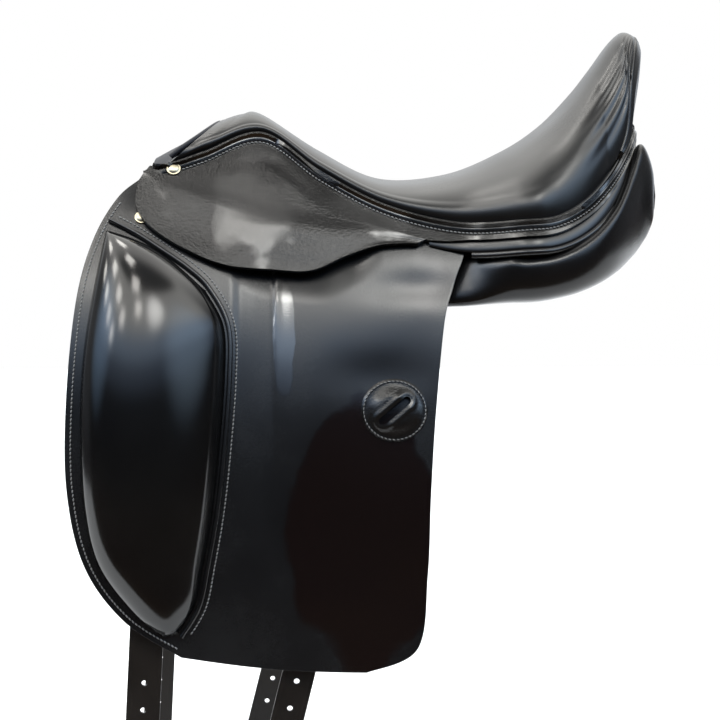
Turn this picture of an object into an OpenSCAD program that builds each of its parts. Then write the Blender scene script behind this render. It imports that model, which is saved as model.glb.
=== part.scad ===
// Dressage saddle with one flap a side, large outside knee blocks and four girth straps.
// X runs to the cantle, Y to the horse's right and Z up. The origin lies on the horse's spine line.

/* [Seat] */
// Place of the pommel's highest point, ahead of the origin
pommel_x = -92; // [-105:1:-80]
// Height of the pommel
pommel_z = 173; // [165:1:182]
// Front edge of the pommel
front_x = -128; // [-133:1:-123]
// Height of the pommel's front edge
front_z = 168; // [164:1:170]
// Place of the lowest point of the seat
dip_x = 46; // [30:1:60]
// Height of the lowest point of the seat
dip_z = 110; // [106:1:116]
// Place of the top of the cantle
cantle_x = 251; // [245:1:260]
// Height of the cantle
cantle_z = 249; // [235:1:262]
// Half width of the seat at its widest
seat_half_w = 124; // [116:1:132]
// Place of the seat's widest point
seat_wide_x = 140; // [132:1:148]
// Height of the seat's edge at its widest point
edge_low_z = 72; // [68:1:76]
// How far the cantle's foot stands behind its top
cantle_foot_back = 3; // [0:0.5:6]
// Height of the cantle's foot
cantle_foot_z = 165; // [158:1:172]
// Thickness of the seat foam under the rider
foam_t = 13; // [8:0.5:15]

/* [Leather] */
// Thickness of the seat leather
cover_t = 3; // [2:0.25:3.5]
// Thickness of the skirts
skirt_t = 4; // [3:0.25:4.5]
// Thickness of the flaps
flap_t = 5; // [3.5:0.25:5.5]
// Distance from the flap's face to the skirt's face
skirt_stand = 9; // [8.5:0.25:12]
// Radius of the welt between seat and skirt
welt_r = 2.8; // [2:0.1:3.2]
// Running clearance between pieces
gap = 0.4; // [0.3:0.05:0.5]

/* [Side shape] */
// Half width over the flaps at the height where they start to bend
fold_out = 108; // [102:1:114]
// Height where the flaps start to bend
fold_z = 50; // [46:1:54]
// Outward fall of the sides per millimetre of height
side_slope = 0.63; // [0.58:0.01:0.68]
// Further spread of the flaps below the bend
side_reach = 72; // [60:1:85]

/* [Flap] */
// Front end of the hinge line along the skirt
hinge_front_x = -195; // [-200:1:-190]
// Height of the hinge line at its front end
hinge_front_z = 118; // [115:1:121]
// Rear end of the hinge line
hinge_rear_x = 64; // [60:1:68]
// Height of the hinge line at its rear end
hinge_rear_z = 53; // [50:1:56]
// Most forward point of the flap
flap_front_x = -261; // [-270:1:-250]
// Lower edge of the flap
flap_low_z = -309; // [-330:1:-290]
// Depth of the scoop in the flap's top edge at the stirrup bar
scoop_depth = 46; // [42:1:50]

/* [Knee block] */
// Greatest height of the knee block over the flap
block_h = 34; // [20:1:45]
// Plain margin between the block and the flap's front edge
block_margin = 12; // [8:1:16]
// Thickness of the leather over the block
block_cover_t = 2.5; // [1.5:0.25:3.5]
// Radius of the piping behind the block
block_pipe_r = 2.2; // [1.5:0.1:3]

/* [Strap keeper] */
// Length of the keeper patch along the saddle
keeper_len = 58; // [50:1:66]
// Height of the keeper patch
keeper_high = 54; // [46:1:62]
// Height of the keeper over the flap
keeper_h = 6; // [5:0.5:9]
// Length of the keeper's slot
slot_len = 34; // [24:1:38]
// Width of the keeper's slot
slot_w = 7; // [6.5:0.25:9]
// Angle of the slot, rising to the rear
slot_angle = 40; // [30:1:50]

/* [Girth straps] */
// Width of a girth strap
strap_w = 29; // [25:1:32]
// Thickness of a girth strap
strap_t = 4; // [3:0.25:4.5]
// Lower end of the straps
strap_end_z = -500; // [-540:1:-460]
// Radius of the buckle holes
hole_r = 2.5; // [1.8:0.1:3]
// Distance between buckle holes
hole_pitch = 23.5; // [20:0.5:26]
// Number of buckle holes in a strap
hole_count = 7; // [4:1:8]
// Height of the top buckle hole
hole_top_z = -326; // [-332:1:-318]
// Radius of the rivet that carries a strap
strap_pin_r = 3; // [2:0.1:4]

/* [Stirrup bar] */
// Place of the middle of the stirrup bar
bar_x = -98; // [-104:1:-92]
// Length of the bar plate
plate_len = 64; // [60:1:70]
// Height of the bar plate
plate_high = 25; // [22:1:28]
// Thickness of the bar plate
plate_t = 3.5; // [3:0.25:4]
// Height of the bar itself
bar_high = 10; // [8:0.5:11]
// Thickness of the bar itself
bar_t = 5.4; // [4.6:0.2:5.8]
// Room behind the bar for the stirrup leather
leather_room = 6.2; // [6:0.1:6.6]
// Length of the turning catch from its pin
catch_len = 23; // [18:1:25]
// Radius of the catch pin
catch_pin_r = 2; // [1.5:0.1:2.5]

/* [Tree] */
// Thickness of the tree's side rails
rail_t = 12; // [11:0.5:14]
// Height of the side rails at the front
rail_high = 34; // [30:1:38]
// Length of the tree's head along the saddle
head_len = 30; // [24:1:34]
// Height of the top of the head
head_top_z = 130; // [124:1:133]
// Thickness of the arch of the head
head_t = 14; // [12:1:17]
// Thickness of the steel head plate
head_plate_t = 3; // [2:0.25:4]

/* [Panels] */
// Half width of the gullet between the panels
gullet_half = 34; // [30:1:38]
// Depth that the panels stay inside the flap's face
panel_inset = 16; // [15.5:0.25:18]
// Swell of the panels behind the flaps
panel_swell = 22; // [16:1:26]

/* [Hardware] */
// Radius of the head nails
nail_r = 6.5; // [5:0.25:8]
// Height of a nail's domed head
nail_h = 3; // [2:0.25:4]

/* [Hidden] */
$fn = 32;

// Small step for slopes and normals
step = 0.004;
edge_gap = welt_r + gap;
patch_gap = gap + 0.3;
hinge_fall = (hinge_front_z - hinge_rear_z) / (hinge_rear_x - hinge_front_x);
plane_norm = sqrt(1 + side_slope * side_slope);
head_x1 = -156;
head_x0 = head_x1 - head_len;
rail_x0 = head_x1 + gap;
rail_x1 = 60;
rail_front_z = 126;
rail_fall = 0.287;
rail_rear_high = 23;
rail_inset = flap_t + 0.5;
bar_recess = plate_t + leather_room - 2;
bar_z = hinge_z(bar_x) - 4;
bar_half = plate_len / 2;
bar_drop = plate_high / 2 + 4;
catch_x = bar_half - 9;
strap_inset = flap_t + 1.2;
strap_hang = 4.5;
strap_hang_run = 250;
web_t = 2.5;
web_half = 13;
strap_front_x = -176;
strap_front_z = 56;
strap_front_lean = 0.05;
strap_rear_x = 25;
strap_rear_z = 30;
strap_rear_lean = 0.25;
keeper_x = 21;
keeper_z = -92;

// Blends, interpolation and spline curves
function mix(a, b, t) = a + (b - a) * t;
function unit(v) = v / norm(v);
function clamp(t) = min(max(t, 0), 1);
function ease(t) = let (c = clamp(t)) c * c * (3 - 2 * c);
function bend(a, b, c, d, t) =
  0.5 * (2 * b + (c - a) * t + (2 * a - 5 * b + 4 * c - d) * t * t + (3 * b - a - 3 * c + d) * t * t * t);
function spline(p, t) =
  let (n = len(p) - 1, s = clamp(t) * n, i = min(floor(s), n - 1))
  bend(p[max(i - 1, 0)], p[i], p[i + 1], p[min(i + 2, n)], s - i);
function rank(p, x) = len([for (q = p) if (q[0] <= x) 1]) - 1;
function along(p, x) =
  let (i = min(max(rank(p, x), 0), len(p) - 2), t = clamp((x - p[i][0]) / (p[i + 1][0] - p[i][0])))
  mix(p[i][1], p[i + 1][1], t * t * (3 - 2 * t) * 0.4 + t * 0.6);
function normal_at(f, u, v) =
  unit(cross(f(u + step, v) - f(u - step, v), f(u, v + step) - f(u, v - step)));

// Closed sheet between two surfaces, each a function of u and v, on the given stations
module sheet(outer, inner, ulist, vlist) {
  m = len(ulist) - 1;
  n = len(vlist) - 1;
  row = n + 1;
  size = (m + 1) * row;
  points = concat(
    [for (u = ulist, v = vlist) outer(u, v)],
    [for (u = ulist, v = vlist) inner(u, v)]
  );
  top = [for (i = [0:m - 1], j = [0:n - 1]) let (a = i * row + j)
    each [[a, a + 1, a + row + 1], [a, a + row + 1, a + row]]];
  under = [for (f = top) [f[0] + size, f[2] + size, f[1] + size]];
  ends = [for (j = [0:n - 1]) let (a = j, b = m * row + j)
    each [[a, a + size, a + size + 1], [a, a + size + 1, a + 1],
          [b, b + 1, b + size + 1], [b, b + size + 1, b + size]]];
  sides = [for (i = [0:m - 1]) let (a = i * row, b = i * row + n)
    each [[a, a + row, a + row + size], [a, a + row + size, a + size],
          [b, b + size, b + row + size], [b, b + row + size, b + row]]];
  polyhedron(points, concat(top, under, ends, sides), convexity = 8);
}

// Round roll swept along a curve that is a function of t from 0 to 1
module roll(path, r, rings, sides = 6, up = [0, 0, 1]) {
  points = [for (i = [0:rings]) let (
    t = i / rings, p = path(t), d = unit(path(min(t + step, 1)) - path(max(t - step, 0))),
    a = unit(cross(d, up)), b = cross(d, a)
  ) for (k = [0:sides - 1]) p + r * (cos(360 * k / sides) * a + sin(360 * k / sides) * b)];
  wall = [for (i = [0:rings - 1], k = [0:sides - 1]) let (
    a = i * sides + k, b = i * sides + (k + 1) % sides
  ) each [[a, a + sides, b + sides], [a, b + sides, b]]];
  first = [for (k = [1:sides - 2]) [0, k, k + 1]];
  last = [for (k = [1:sides - 2]) [for (j = [0, k + 1, k]) rings * sides + j]];
  polyhedron(points, concat(wall, first, last), convexity = 8);
}

// Right side as drawn, or its mirror image on the left
module side(name) {
  if (name == "left") mirror([0, 1, 0]) children();
  else children();
}

// Outer face of the flap: half width of the saddle at height z, and its slope
function out_at(z) = z > fold_z
  ? fold_out + (fold_z - z) * side_slope
  : fold_out + side_reach * (1 - exp(-(fold_z - z) * side_slope / side_reach));
function slope_at(z) = z > fold_z ? side_slope : side_slope * exp(-(fold_z - z) * side_slope / side_reach);
function hinge_z(x) = hinge_front_z - hinge_fall * (x - hinge_front_x);
function on_side(p, off) = [p[0], out_at(p[1]) + off, p[1]];

// Frame on the side with x along the saddle, y down the side and z straight out of it
module at_side(x, z, off) {
  translate([x, out_at(z) + off, z]) rotate([-atan2(1, slope_at(z)), 0, 0]) children();
}

// Seat edge: along the side plane to the rear, then round the cantle as part of an ellipse
cantle_foot_x = cantle_x + cantle_foot_back;
skirt_front_x = -193;
front_edge = [
  [skirt_front_x, hinge_z(skirt_front_x) + 3], [-175, 126], [-145, 143], [pommel_x, pommel_z - 13],
  [-40, 122], [17, 87], [82, 70]
];
function foot_point(a) = [
  seat_wide_x + (cantle_foot_x - seat_wide_x) * sin(a),
  seat_half_w * cos(a),
  edge_low_z + (cantle_foot_z - edge_low_z) * pow(sin(a), 2.3)
];
edge_points = concat(
  [for (p = front_edge) on_side(p, skirt_stand)], [for (a = [0:15:90]) foot_point(a)]
);
edge_count = len(edge_points) - 1;
function turn_at(t) = max((t * edge_count - len(front_edge)) * 15, 0);
function edge_at(t) = spline(edge_points, t);
function flat_out(t) = let (a = turn_at(t))
  unit([sin(a) / (cantle_foot_x - seat_wide_x), cos(a) / seat_half_w, 0]);
function fall_at(t) = mix(side_slope, 0.3, turn_at(t) / 90);
function down_at(t) = unit(flat_out(t) * fall_at(t) - [0, 0, 1]);
function face_at(t) = unit(flat_out(t) + [0, 0, fall_at(t)]);
function band_at(t, s, off) = edge_at(t) + down_at(t) * s + face_at(t) * off;
function lift_at(t) = edge_gap / norm(cross(down_at(t), unit(edge_at(t + step) - edge_at(t - step))));

// Seat surface between its middle line and its edge
rear_run = cantle_x - dip_x;
rear_rise = cantle_z - dip_z;
front_rise = pommel_z - dip_z;
middle_line = concat(
  [[front_x, front_z], [mix(pommel_x, front_x, 0.5), pommel_z + 0.5], [pommel_x, pommel_z]],
  [for (p = [[0.62, 0.47], [0.22, 0.06]]) [mix(dip_x, pommel_x, p[0]), dip_z + front_rise * p[1]]],
  [for (p = [[0.16, 0.055], [0.42, 0.21], [0.6, 0.385], [0.74, 0.59], [0.83, 0.745], [0.905, 0.88],
             [0.95, 0.962], [0.98, 0.993], [1, 1]]) [dip_x + rear_run * p[0], dip_z + rear_rise * p[1]]]
);
rim_points = [
  [cantle_x - 12, 70, mix(edge_low_z, cantle_z, 0.46)], [cantle_x - 8, 58, mix(edge_low_z, cantle_z, 0.72)],
  [cantle_x - 4, 36, mix(edge_low_z, cantle_z, 0.925)], [cantle_x - 1, 15, cantle_z - 2]
];
welt_t0 = 1 / edge_count;
rim_start = 9;
rim_line = concat([for (i = [rim_start, rim_start + 1]) seat_foot(i / edge_count)], rim_points);
function seat_foot(t) = band_at(t, -lift_at(t), -0.5);
function seat_edge(u) = let (k = u * edge_count)
  k <= rim_start
    ? seat_foot((k + 1) / edge_count) : spline(rim_line, (k - rim_start + 1) / (len(rim_line) - 1));
function seat_mid(u) = let (p = spline(middle_line, u)) [p[0], 0, p[1]];
function half_seat(u, w) = let (
  a = seat_mid(u), d = seat_edge(u), b = a + [0, d[1] * 0.55, 0],
  hold = mix(0.43, 1, ease(u / 0.25)),
  c = [mix(a[0], d[0], hold), d[1] + 4 * ease(1 - u), mix(d[2], a[2], 0.55)]
) pow(1 - w, 3) * a + 3 * pow(1 - w, 2) * w * b + 3 * (1 - w) * w * w * c + pow(w, 3) * d;
seat_at = function(u, v) let (w = 2 * v - 1, p = half_seat(u, abs(w))) w < 0 ? [p[0], -p[1], p[2]] : p;
function seat_under(u, v, d) = seat_at(u, v) - d * normal_at(seat_at, u, v);
function foam_depth(u, v) =
  cover_t + gap + 1.5 + (foam_t - 1.5) * (1 - pow(2 * v - 1, 4)) * mix(1, 0.55, ease((u - 0.6) / 0.2));

// The layers of the seat share one grid of stations, so their faces stay parallel
seat_nu = 2 * edge_count;
seat_nv = 16;
function stations(first, last, count) = [for (i = [first:last]) i / count];
module seat_layer(top, depth, u0, u1, v0, v1) {
  sheet(
    function(u, v) seat_under(u, v, top(u, v)), function(u, v) seat_under(u, v, top(u, v) + depth(u, v)),
    stations(u0, u1, seat_nu), stations(v0, v1, seat_nv)
  );
}
under_foam = function(u, v) foam_depth(u, v) + gap;
module seat_cover() {
  color("#1b1b1d") seat_layer(function(u, v) 0, function(u, v) cover_t, 0, seat_nu, 0, seat_nv);
}
module seat_foam() {
  top = cover_t + gap;
  color("#d8cfae") seat_layer(
    function(u, v) top, function(u, v) foam_depth(u, v) - top, 3, seat_nu - 6, 3, seat_nv - 3
  );
}
module seat_webbing() {
  color("#b9a782") for (v0 = [3, 7, 11])
    seat_layer(under_foam, function(u, v) web_t, 4, seat_nu - 9, v0, v0 + 2);
}
plate_wood_t = 6;
module cantle_plate() {
  color("#7c6a4c") seat_layer(under_foam, function(u, v) plate_wood_t, seat_nu - 8, seat_nu - 6, 4, seat_nv - 4);
}

// Back of the cantle, from the rim to the foot
rim_lap = [1.6, 0.8, -1.4];
rim_end = mix(seat_foot((rim_start + 1) / edge_count), rim_points[0], 0.6);
back_rim = concat(
  [[cantle_x + 2.2, 0, cantle_z - 2.2]], [for (i = [3:-1:0]) rim_points[i] + rim_lap], [rim_end + rim_lap]
);
back_bulge = 5.5;
back_steps = 5;
function back_foot(w) = let (t = 1 - w * back_steps / seat_nu) band_at(t, -lift_at(t) - 1.2, -0.5);
back_at = function(u, v) let (
  w = abs(2 * u - 1), r = spline(back_rim, w),
  p = mix(r, back_foot(w), v) + [back_bulge * sin(180 * pow(clamp(v), 0.55)) * pow(clamp(1 - w), 1.5), 0, 0]
) u < 0.5 ? [p[0], -p[1], p[2]] : p;
module cantle_back() {
  color("#1b1b1d") sheet(
    back_at,
    function(u, v) let (n = normal_at(back_at, u, v)) back_at(u, v) - cover_t * unit([n[0], n[1], 0]),
    stations(0, 2 * back_steps, 2 * back_steps), stations(0, 6, 6)
  );
}

// Rolled leather edge along the front of the pommel
function before_seat(v, ahead, below) = let (
  n = normal_at(seat_at, 0, v), f = unit(cross(seat_at(0, v + step) - seat_at(0, v - step), n))
) seat_at(0, v) - f * ahead - n * below;
facing_r = 2.4;
module pommel_facing() {
  r = facing_r;
  color("#2a2c31") roll(function(t) before_seat(mix(0.0625, 0.9375, t), r + 3.5 * gap, 2), r, 14, 8);
}

// Welt along the seat's edge
module seat_welt(s) {
  side(s) color("#111113") roll(function(t) band_at(mix(welt_t0, 1, t), 0, -1.4), welt_r, seat_nu - 2);
}

// Sewn part of the skirt, from the welt to the hinge line and back as a strip round the cantle
strip_w = 14;
function skirt_drop(t) = let (p = edge_at(t), front = (p[2] - hinge_z(p[0])) * plane_norm)
  turn_at(t) > 0 ? strip_w : mix(front, strip_w + 2, ease((p[0] - 50) / 45));
skirt_rear_t = 0.998;
skirt_at = function(u, v) band_at(u, mix(lift_at(u) * ease(u / welt_t0), skirt_drop(u), v), 0);
module skirt(s) {
  side(s) color("#202023") sheet(
    skirt_at, function(u, v) skirt_at(u, v) - skirt_t * face_at(u),
    concat(stations(0, seat_nu - 1, seat_nu), [skirt_rear_t]), stations(0, 3, 3)
  );
}

// Free lobe of the skirt, hinged along a straight line
lobe_low = [
  [-203, 108], [-204, 86], [-190, 67], [-160, 48], [-125, 34],
  [-85, 30], [-50, 29], [-18, 42], [12, 51], [44, 52.5]
];
lobe_at = function(u, v) let (
  x = mix(hinge_front_x + 2, hinge_rear_x - 12, u), top = [x, hinge_z(x) - gap * 1.2]
) on_side(mix(top, spline(lobe_low, u), v), skirt_stand);
module skirt_lobe(s) {
  side(s) color("#202023") sheet(
    lobe_at, function(u, v) lobe_at(u, v) - skirt_t * [0, 1, side_slope] / plane_norm,
    stations(0, 26, 26), stations(0, 4, 4)
  );
}

// Second strip under the skirt's rear strip, and the welt on the panel below it
rear_steps = 13;
band_drop = [11, 25];
band_t = 4;
panel_welt_drop = 28.8;
panel_welt_r = 3;
tree_rim_drop = [4, 22];
tree_rim_t = 9;
tree_rim_depth = [band_t + 2 * gap, band_t + 2 * gap + tree_rim_t];
rear_grid = stations(0, 2 * rear_steps, 2 * rear_steps);
strip_first = 0.475;
rear_at = function(u) 1 - abs(2 * u - 1) * (1 - strip_first);
rim_at = function(u) 1 - abs(2 * u - 1) * rear_steps / seat_nu;
strip_ts = concat([strip_first], stations(rear_steps, seat_nu, seat_nu));
function strip_u(t) = (1 - t) / (1 - strip_first) / 2;
strip_grid = concat(
  [for (t = strip_ts) 0.5 - strip_u(t)], [for (i = [len(strip_ts) - 2:-1:0]) 0.5 + strip_u(strip_ts[i])]
);
function both(u, p) = u < 0.5 ? [p[0], -p[1], p[2]] : p;
module cantle_band() {
  color("#161618") sheet(
    function(u, v) both(u, band_at(rear_at(u), mix(band_drop[1], band_drop[0], v), -skirt_t - gap)),
    function(u, v) both(u, band_at(rear_at(u), mix(band_drop[1], band_drop[0], v), -skirt_t - gap - band_t)),
    strip_grid, stations(0, 2, 2)
  );
}
module panel_welt() {
  color("#111113") roll(
    function(t) both(t, band_at(rear_at(t), panel_welt_drop, -skirt_t - 2.5)), panel_welt_r, 2 * rear_steps
  );
}
function tree_rim(u, v, depth) =
  band_at(rim_at(u), mix(tree_rim_drop[1], tree_rim_drop[0], v), -skirt_t - depth);
module tree_cantle() {
  color("#8a744f") sheet(
    function(u, v) both(u, tree_rim(u, v, tree_rim_depth[0])),
    function(u, v) both(u, tree_rim(u, v, tree_rim_depth[1])), rear_grid, [0, 1]
  );
}

// Head arch of the tree, with its steel plate, its lining and its rivets
arch_spring_z = 100;
function arch_curve(inset, t) = let (
  back = rail_inset + inset, top = head_top_z - inset,
  a = [out_at(arch_spring_z) - back, arch_spring_z], b = [out_at(top) - back, top], c = [0, top]
) (1 - t) * (1 - t) * a + 2 * t * (1 - t) * b + t * t * c;
function arch_outer(inset, foot) = concat(
  [[out_at(foot) - rail_inset - inset, foot]], [for (t = [0:0.125:1]) arch_curve(inset, t)]
);
module arch(x, depth, foot, inset, thick) {
  outer = arch_outer(inset, foot);
  inner = arch_outer(inset + thick, foot);
  outline = concat(
    [for (p = outer) p], [for (i = [len(outer) - 2:-1:0]) [-outer[i][0], outer[i][1]]],
    [for (p = inner) [-p[0], p[1]]], [for (i = [len(inner) - 2:-1:0]) inner[i]]
  );
  translate([x, 0, 0]) rotate([90, 0, 90]) linear_extrude(depth) polygon(outline);
}
head_foot_z = 70;
plate_x = head_x0 - gap / 2 - head_plate_t;
lining_t = 2;
rivet_r = 2;
module rivet_rows(r) {
  for (s = [-1, 1], z = [86, 98]) translate([plate_x, s * (out_at(z) - rail_inset - head_t / 2), z])
    rotate([0, 90, 0]) cylinder(r = r, h = head_plate_t + 12);
}
module tree_head() {
  color("#8a744f") difference() {
    arch(head_x0, head_len, head_foot_z, 0, head_t);
    rivet_rows(rivet_r + 0.02);
  }
}
module head_plate() {
  color("#8d9198") difference() {
    arch(plate_x, head_plate_t, head_foot_z + 8, 2, head_t - 4);
    rivet_rows(rivet_r + 0.02);
  }
}
module head_lining() {
  color("#1b1b1d") arch(plate_x - gap / 2 - lining_t, lining_t, head_foot_z, 0, head_t);
}
module head_rivets() { color("#c9c9cc") rivet_rows(rivet_r); }

// Leather front of the pommel, from below its rolled edge to the top of the head
front_span = [0.1, 0.9];
front_end = 0.25;
front_at = function(u, v) let (
  top = before_seat(mix(front_span[0], front_span[1], u), facing_r, facing_r + 3.5),
  q = arch_curve(-lining_t - 2 * gap, mix(1, front_end, abs(2 * u - 1))),
  low = [plate_x - lining_t / 2, u < 0.5 ? -q[0] : q[0], q[1]]
) mix(top, low, v);
module pommel_front() {
  color("#1b1b1d") sheet(
    front_at, function(u, v) front_at(u, v) - lining_t * normal_at(front_at, u, v),
    stations(0, 14, 14), stations(0, 3, 3)
  );
}

// Side rail of the tree, recessed for the stirrup bar
function rail_top(x) = rail_front_z - rail_fall * (x - rail_x0);
function rail_low(x) = rail_top(x) - mix(rail_high, rail_rear_high, (x - rail_x0) / (rail_x1 - rail_x0));
function recess_at(x) = bar_recess * ease((bar_half + 8 - abs(x - bar_x)) / 6);
function rail_point(u, v, off) = let (x = mix(rail_x0, rail_x1, u), z = mix(rail_top(x), rail_low(x), v))
  [x, out_at(z) - rail_inset, z] + off * [0, 1, side_slope] / plane_norm;
module tree_rail(s) {
  ramp = [for (d = [-bar_half - 8, -bar_half - 2, 0, bar_half + 2, bar_half + 8]) bar_x + d];
  us = [for (x = concat([rail_x0, -150], ramp, [-30, 0, 30, rail_x1])) (x - rail_x0) / (rail_x1 - rail_x0)];
  side(s) color("#8a744f") sheet(
    function(u, v) rail_point(u, v, -recess_at(mix(rail_x0, rail_x1, u))),
    function(u, v) rail_point(u, v, -rail_t), us, stations(0, 2, 2)
  );
}

// Stirrup bar with its plate, open at the rear and closed by a turning catch
bar_floor = -bar_recess + 0.2;
bar_face = bar_floor + plate_t + leather_room;
half_lap = bar_t / 2;
module in_bar() { at_side(bar_x, bar_z, -rail_inset) children(); }
module bar_body() {
  difference() {
    union() {
      translate([-bar_half, bar_drop - plate_high, bar_floor]) cube([plate_len, plate_high, plate_t]);
      translate([-bar_half, bar_drop - bar_high, bar_floor + plate_t / 2])
        cube([10, bar_high, bar_face - bar_floor - plate_t / 2 + bar_t]);
      translate([-bar_half, bar_drop - bar_high, bar_face])
        cube([bar_half + catch_x - bar_high / 2 - gap, bar_high, bar_t]);
      translate([0, bar_drop - bar_high, bar_face]) cube([catch_x, bar_high, half_lap - gap / 2]);
      translate([catch_x, bar_drop - bar_high / 2, bar_face]) cylinder(d = bar_high, h = half_lap - gap / 2);
    }
    translate([catch_x, bar_drop - bar_high / 2, bar_face - 1]) cylinder(r = catch_pin_r + 0.02, h = bar_t);
    for (x = [-bar_half + 18, bar_half - 14])
      translate([x, bar_drop - plate_high + 6, bar_floor - 1]) cylinder(r = 2.02, h = plate_t + 2);
  }
}
module stirrup_bar(s) { side(s) color("#b8bbc0") in_bar() bar_body(); }
module bar_rivets(s) {
  side(s) color("#c9c9cc") in_bar() for (x = [-bar_half + 18, bar_half - 14])
    translate([x, bar_drop - plate_high + 6, bar_floor]) {
      cylinder(r = 2, h = plate_t);
      translate([0, 0, plate_t]) cylinder(r = 3.6, h = 1.6);
    }
}
module catch_pin(s) {
  side(s) color("#c9c9cc") in_bar() translate([catch_x, bar_drop - bar_high / 2, bar_face])
    cylinder(r = catch_pin_r, h = bar_t);
}
module stirrup_catch(s) {
  side(s) color("#b8bbc0") in_bar()
    translate([catch_x, bar_drop - bar_high / 2, bar_face + half_lap + gap / 2])
    difference() {
      union() {
        cylinder(d = bar_high, h = half_lap - gap / 2);
        translate([0, -bar_high / 2, 0]) cube([catch_len - bar_high / 2, bar_high, half_lap - gap / 2]);
        translate([catch_len - bar_high / 2, 0, 0]) cylinder(d = bar_high, h = half_lap - gap / 2);
      }
      translate([0, 0, -1]) cylinder(r = catch_pin_r + 0.1, h = bar_t);
    }
}

// Stuffed panel as a loft of rounded sections along the saddle
panel_x0 = -196;
panel_crown = 1.15;
function rail_seat(x) = rail_low(x) - rail_t * side_slope / plane_norm - gap + panel_crown;
function welt_z(x) = let (
  a = asin(clamp((x - seat_wide_x) / (cantle_foot_x - seat_wide_x))), fall = mix(side_slope, 0.3, a / 90)
) mix(edge_low_z, cantle_foot_z, pow(sin(a), 2.3))
  - (panel_welt_drop + (skirt_t + 2.5) * fall) / norm([1, fall]);
panel_x1 = cantle_foot_x + 15.5;
panel_top = concat(
  [[panel_x0, 62], [-150, 68]], [for (x = [-90, -20, 50]) [x, rail_seat(x)]],
  [for (x = [92, 115, 140, 160, 178, 196, 212, 226, 238]) [x, welt_z(x) - panel_under(x)]],
  [for (p = [[19, 121], [15.5, 123], [12.5, 131], [10, 131], [5, 119], [1.5, 104], [0.7, 98]])
    [panel_x1 - p[0], p[1]]]
);
function panel_under(x) = mix(mix(2.6, 1.2, clamp((x - 92) / 40)), 4, ease((x - 190) / 45));
panel_low = [
  [panel_x0, 20], [-150, -6], [-90, -14], [50, -8], [115, -4.5], [150, -3], [187, 5], [216, 18],
  [panel_x1 - 29, 33], [panel_x1 - 16, 47], [panel_x1 - 8, 61], [panel_x1 - 3, 75], [panel_x1 - 0.7, 88]
];
panel_puff = [[75, 0], [100, 0.6], [130, 1], [panel_x1, 1]];
panel_stations = concat(
  [panel_x0, -190, -170, -140, -100, -60, -20, 20, 55, 75, 92, 115, 140, 160, 178, 196, 212, 226, 238],
  [for (d = [23, 19, 15.5, 12.5, 10, 7.5, 5, 3, 1.5, 0.7]) panel_x1 - d]
);
function panel_round(x) = let (s = clamp((x - seat_wide_x) / (panel_x1 - seat_wide_x)))
  pow(1 - pow(s, 2.6), 1 / 2.6);
function panel_end(x) = min(ease((x - panel_x0 + 4) / 22) + 0.35, 1);
function panel_point(x, a) = let (
  soft = mix(0.42, 0.62, ease((x - 80) / 60)),
  p = sign(cos(a)) * pow(abs(cos(a)), soft), q = sign(sin(a)) * pow(abs(sin(a)), soft),
  low = along(panel_low, x), top = along(panel_top, x),
  z = mix(low, top, (q + 1) / 2) + 16 * (1 - p) / 2 * (1 - q) / 2,
  wide = (out_at(z) - panel_inset + panel_swell * along(panel_puff, x)) * panel_round(x),
  y = mix(gullet_half, max(mix(gullet_half + 12, wide, panel_end(x)), gullet_half + 5), (p + 1) / 2)
) [x, y, z];
module panel(s) {
  sides = 20;
  n = len(panel_stations);
  points = [for (x = panel_stations, k = [0:sides - 1]) panel_point(x, 360 * k / sides)];
  wall = [for (i = [0:n - 2], k = [0:sides - 1]) let (a = i * sides + k, b = i * sides + (k + 1) % sides)
    each [[a, b, b + sides], [a, b + sides, a + sides]]];
  first = [for (k = [1:sides - 2]) [0, k + 1, k]];
  last = [for (k = [1:sides - 2]) [for (j = [0, k, k + 1]) (n - 1) * sides + j]];
  faces = [for (f = concat(wall, first, last)) [f[0], f[2], f[1]]];
  side(s) color("#1d1d20") polyhedron(points, faces, convexity = 8);
}

// Lining that joins the panels over the gullet
lining_at = function(u, v) let (x = mix(-150, 225, u), y = (gullet_half - gap) * (2 * v - 1))
  [x, y, mix(along(panel_low, x), along(panel_top, x), 0.5) + 8 + 7 * cos(90 * (2 * v - 1))];
module gullet_lining() {
  color("#26262a") sheet(
    lining_at, function(u, v) lining_at(u, v) - [0, 0, lining_t], stations(0, 16, 16), stations(0, 6, 6)
  );
}

// Flap between its front and rear edges, scooped out at the stirrup bar
flap_corner_rise = 8;
flap_front = [
  [-200, 114], [-222, 92], [-241, 56], [-254, 3], [flap_front_x, -83], [flap_front_x + 1, -160],
  [-245, flap_low_z + 85], [-211, flap_low_z + 38], [-163, flap_low_z + 7]
];
flap_rear = [
  [88, 44], [81, 30], [75, 14], [66, -18], [57, -95], [52, -165],
  [49, flap_low_z + 76], [43, flap_low_z + 17], [10, flap_low_z - 9]
];
flap_at = function(u, v) let (
  p = mix(spline(flap_front, v), spline(flap_rear, v), u),
  dip = scoop_depth * ease((60 - abs(p[0] - bar_x - 8)) / 26) * pow(clamp(1 - v / 0.3), 2),
  rise = flap_corner_rise * ease((u - 0.92) / 0.08) * pow(clamp(1 - v / 0.1), 2)
) on_side(p + [0, rise - dip], 0);
flap_us = [
  0, 0.05, 0.12, 0.17, 0.22, 0.27, 0.32, 0.38, 0.44, 0.49, 0.54, 0.59, 0.64, 0.7, 0.8, 0.9, 0.92, 0.96, 1
];
module flap(s) {
  side(s) color("#1e1e21") sheet(
    flap_at, function(u, v) flap_at(u, v) - flap_t * [0, 1, 0], flap_us, stations(0, 22, 22)
  );
}

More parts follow.
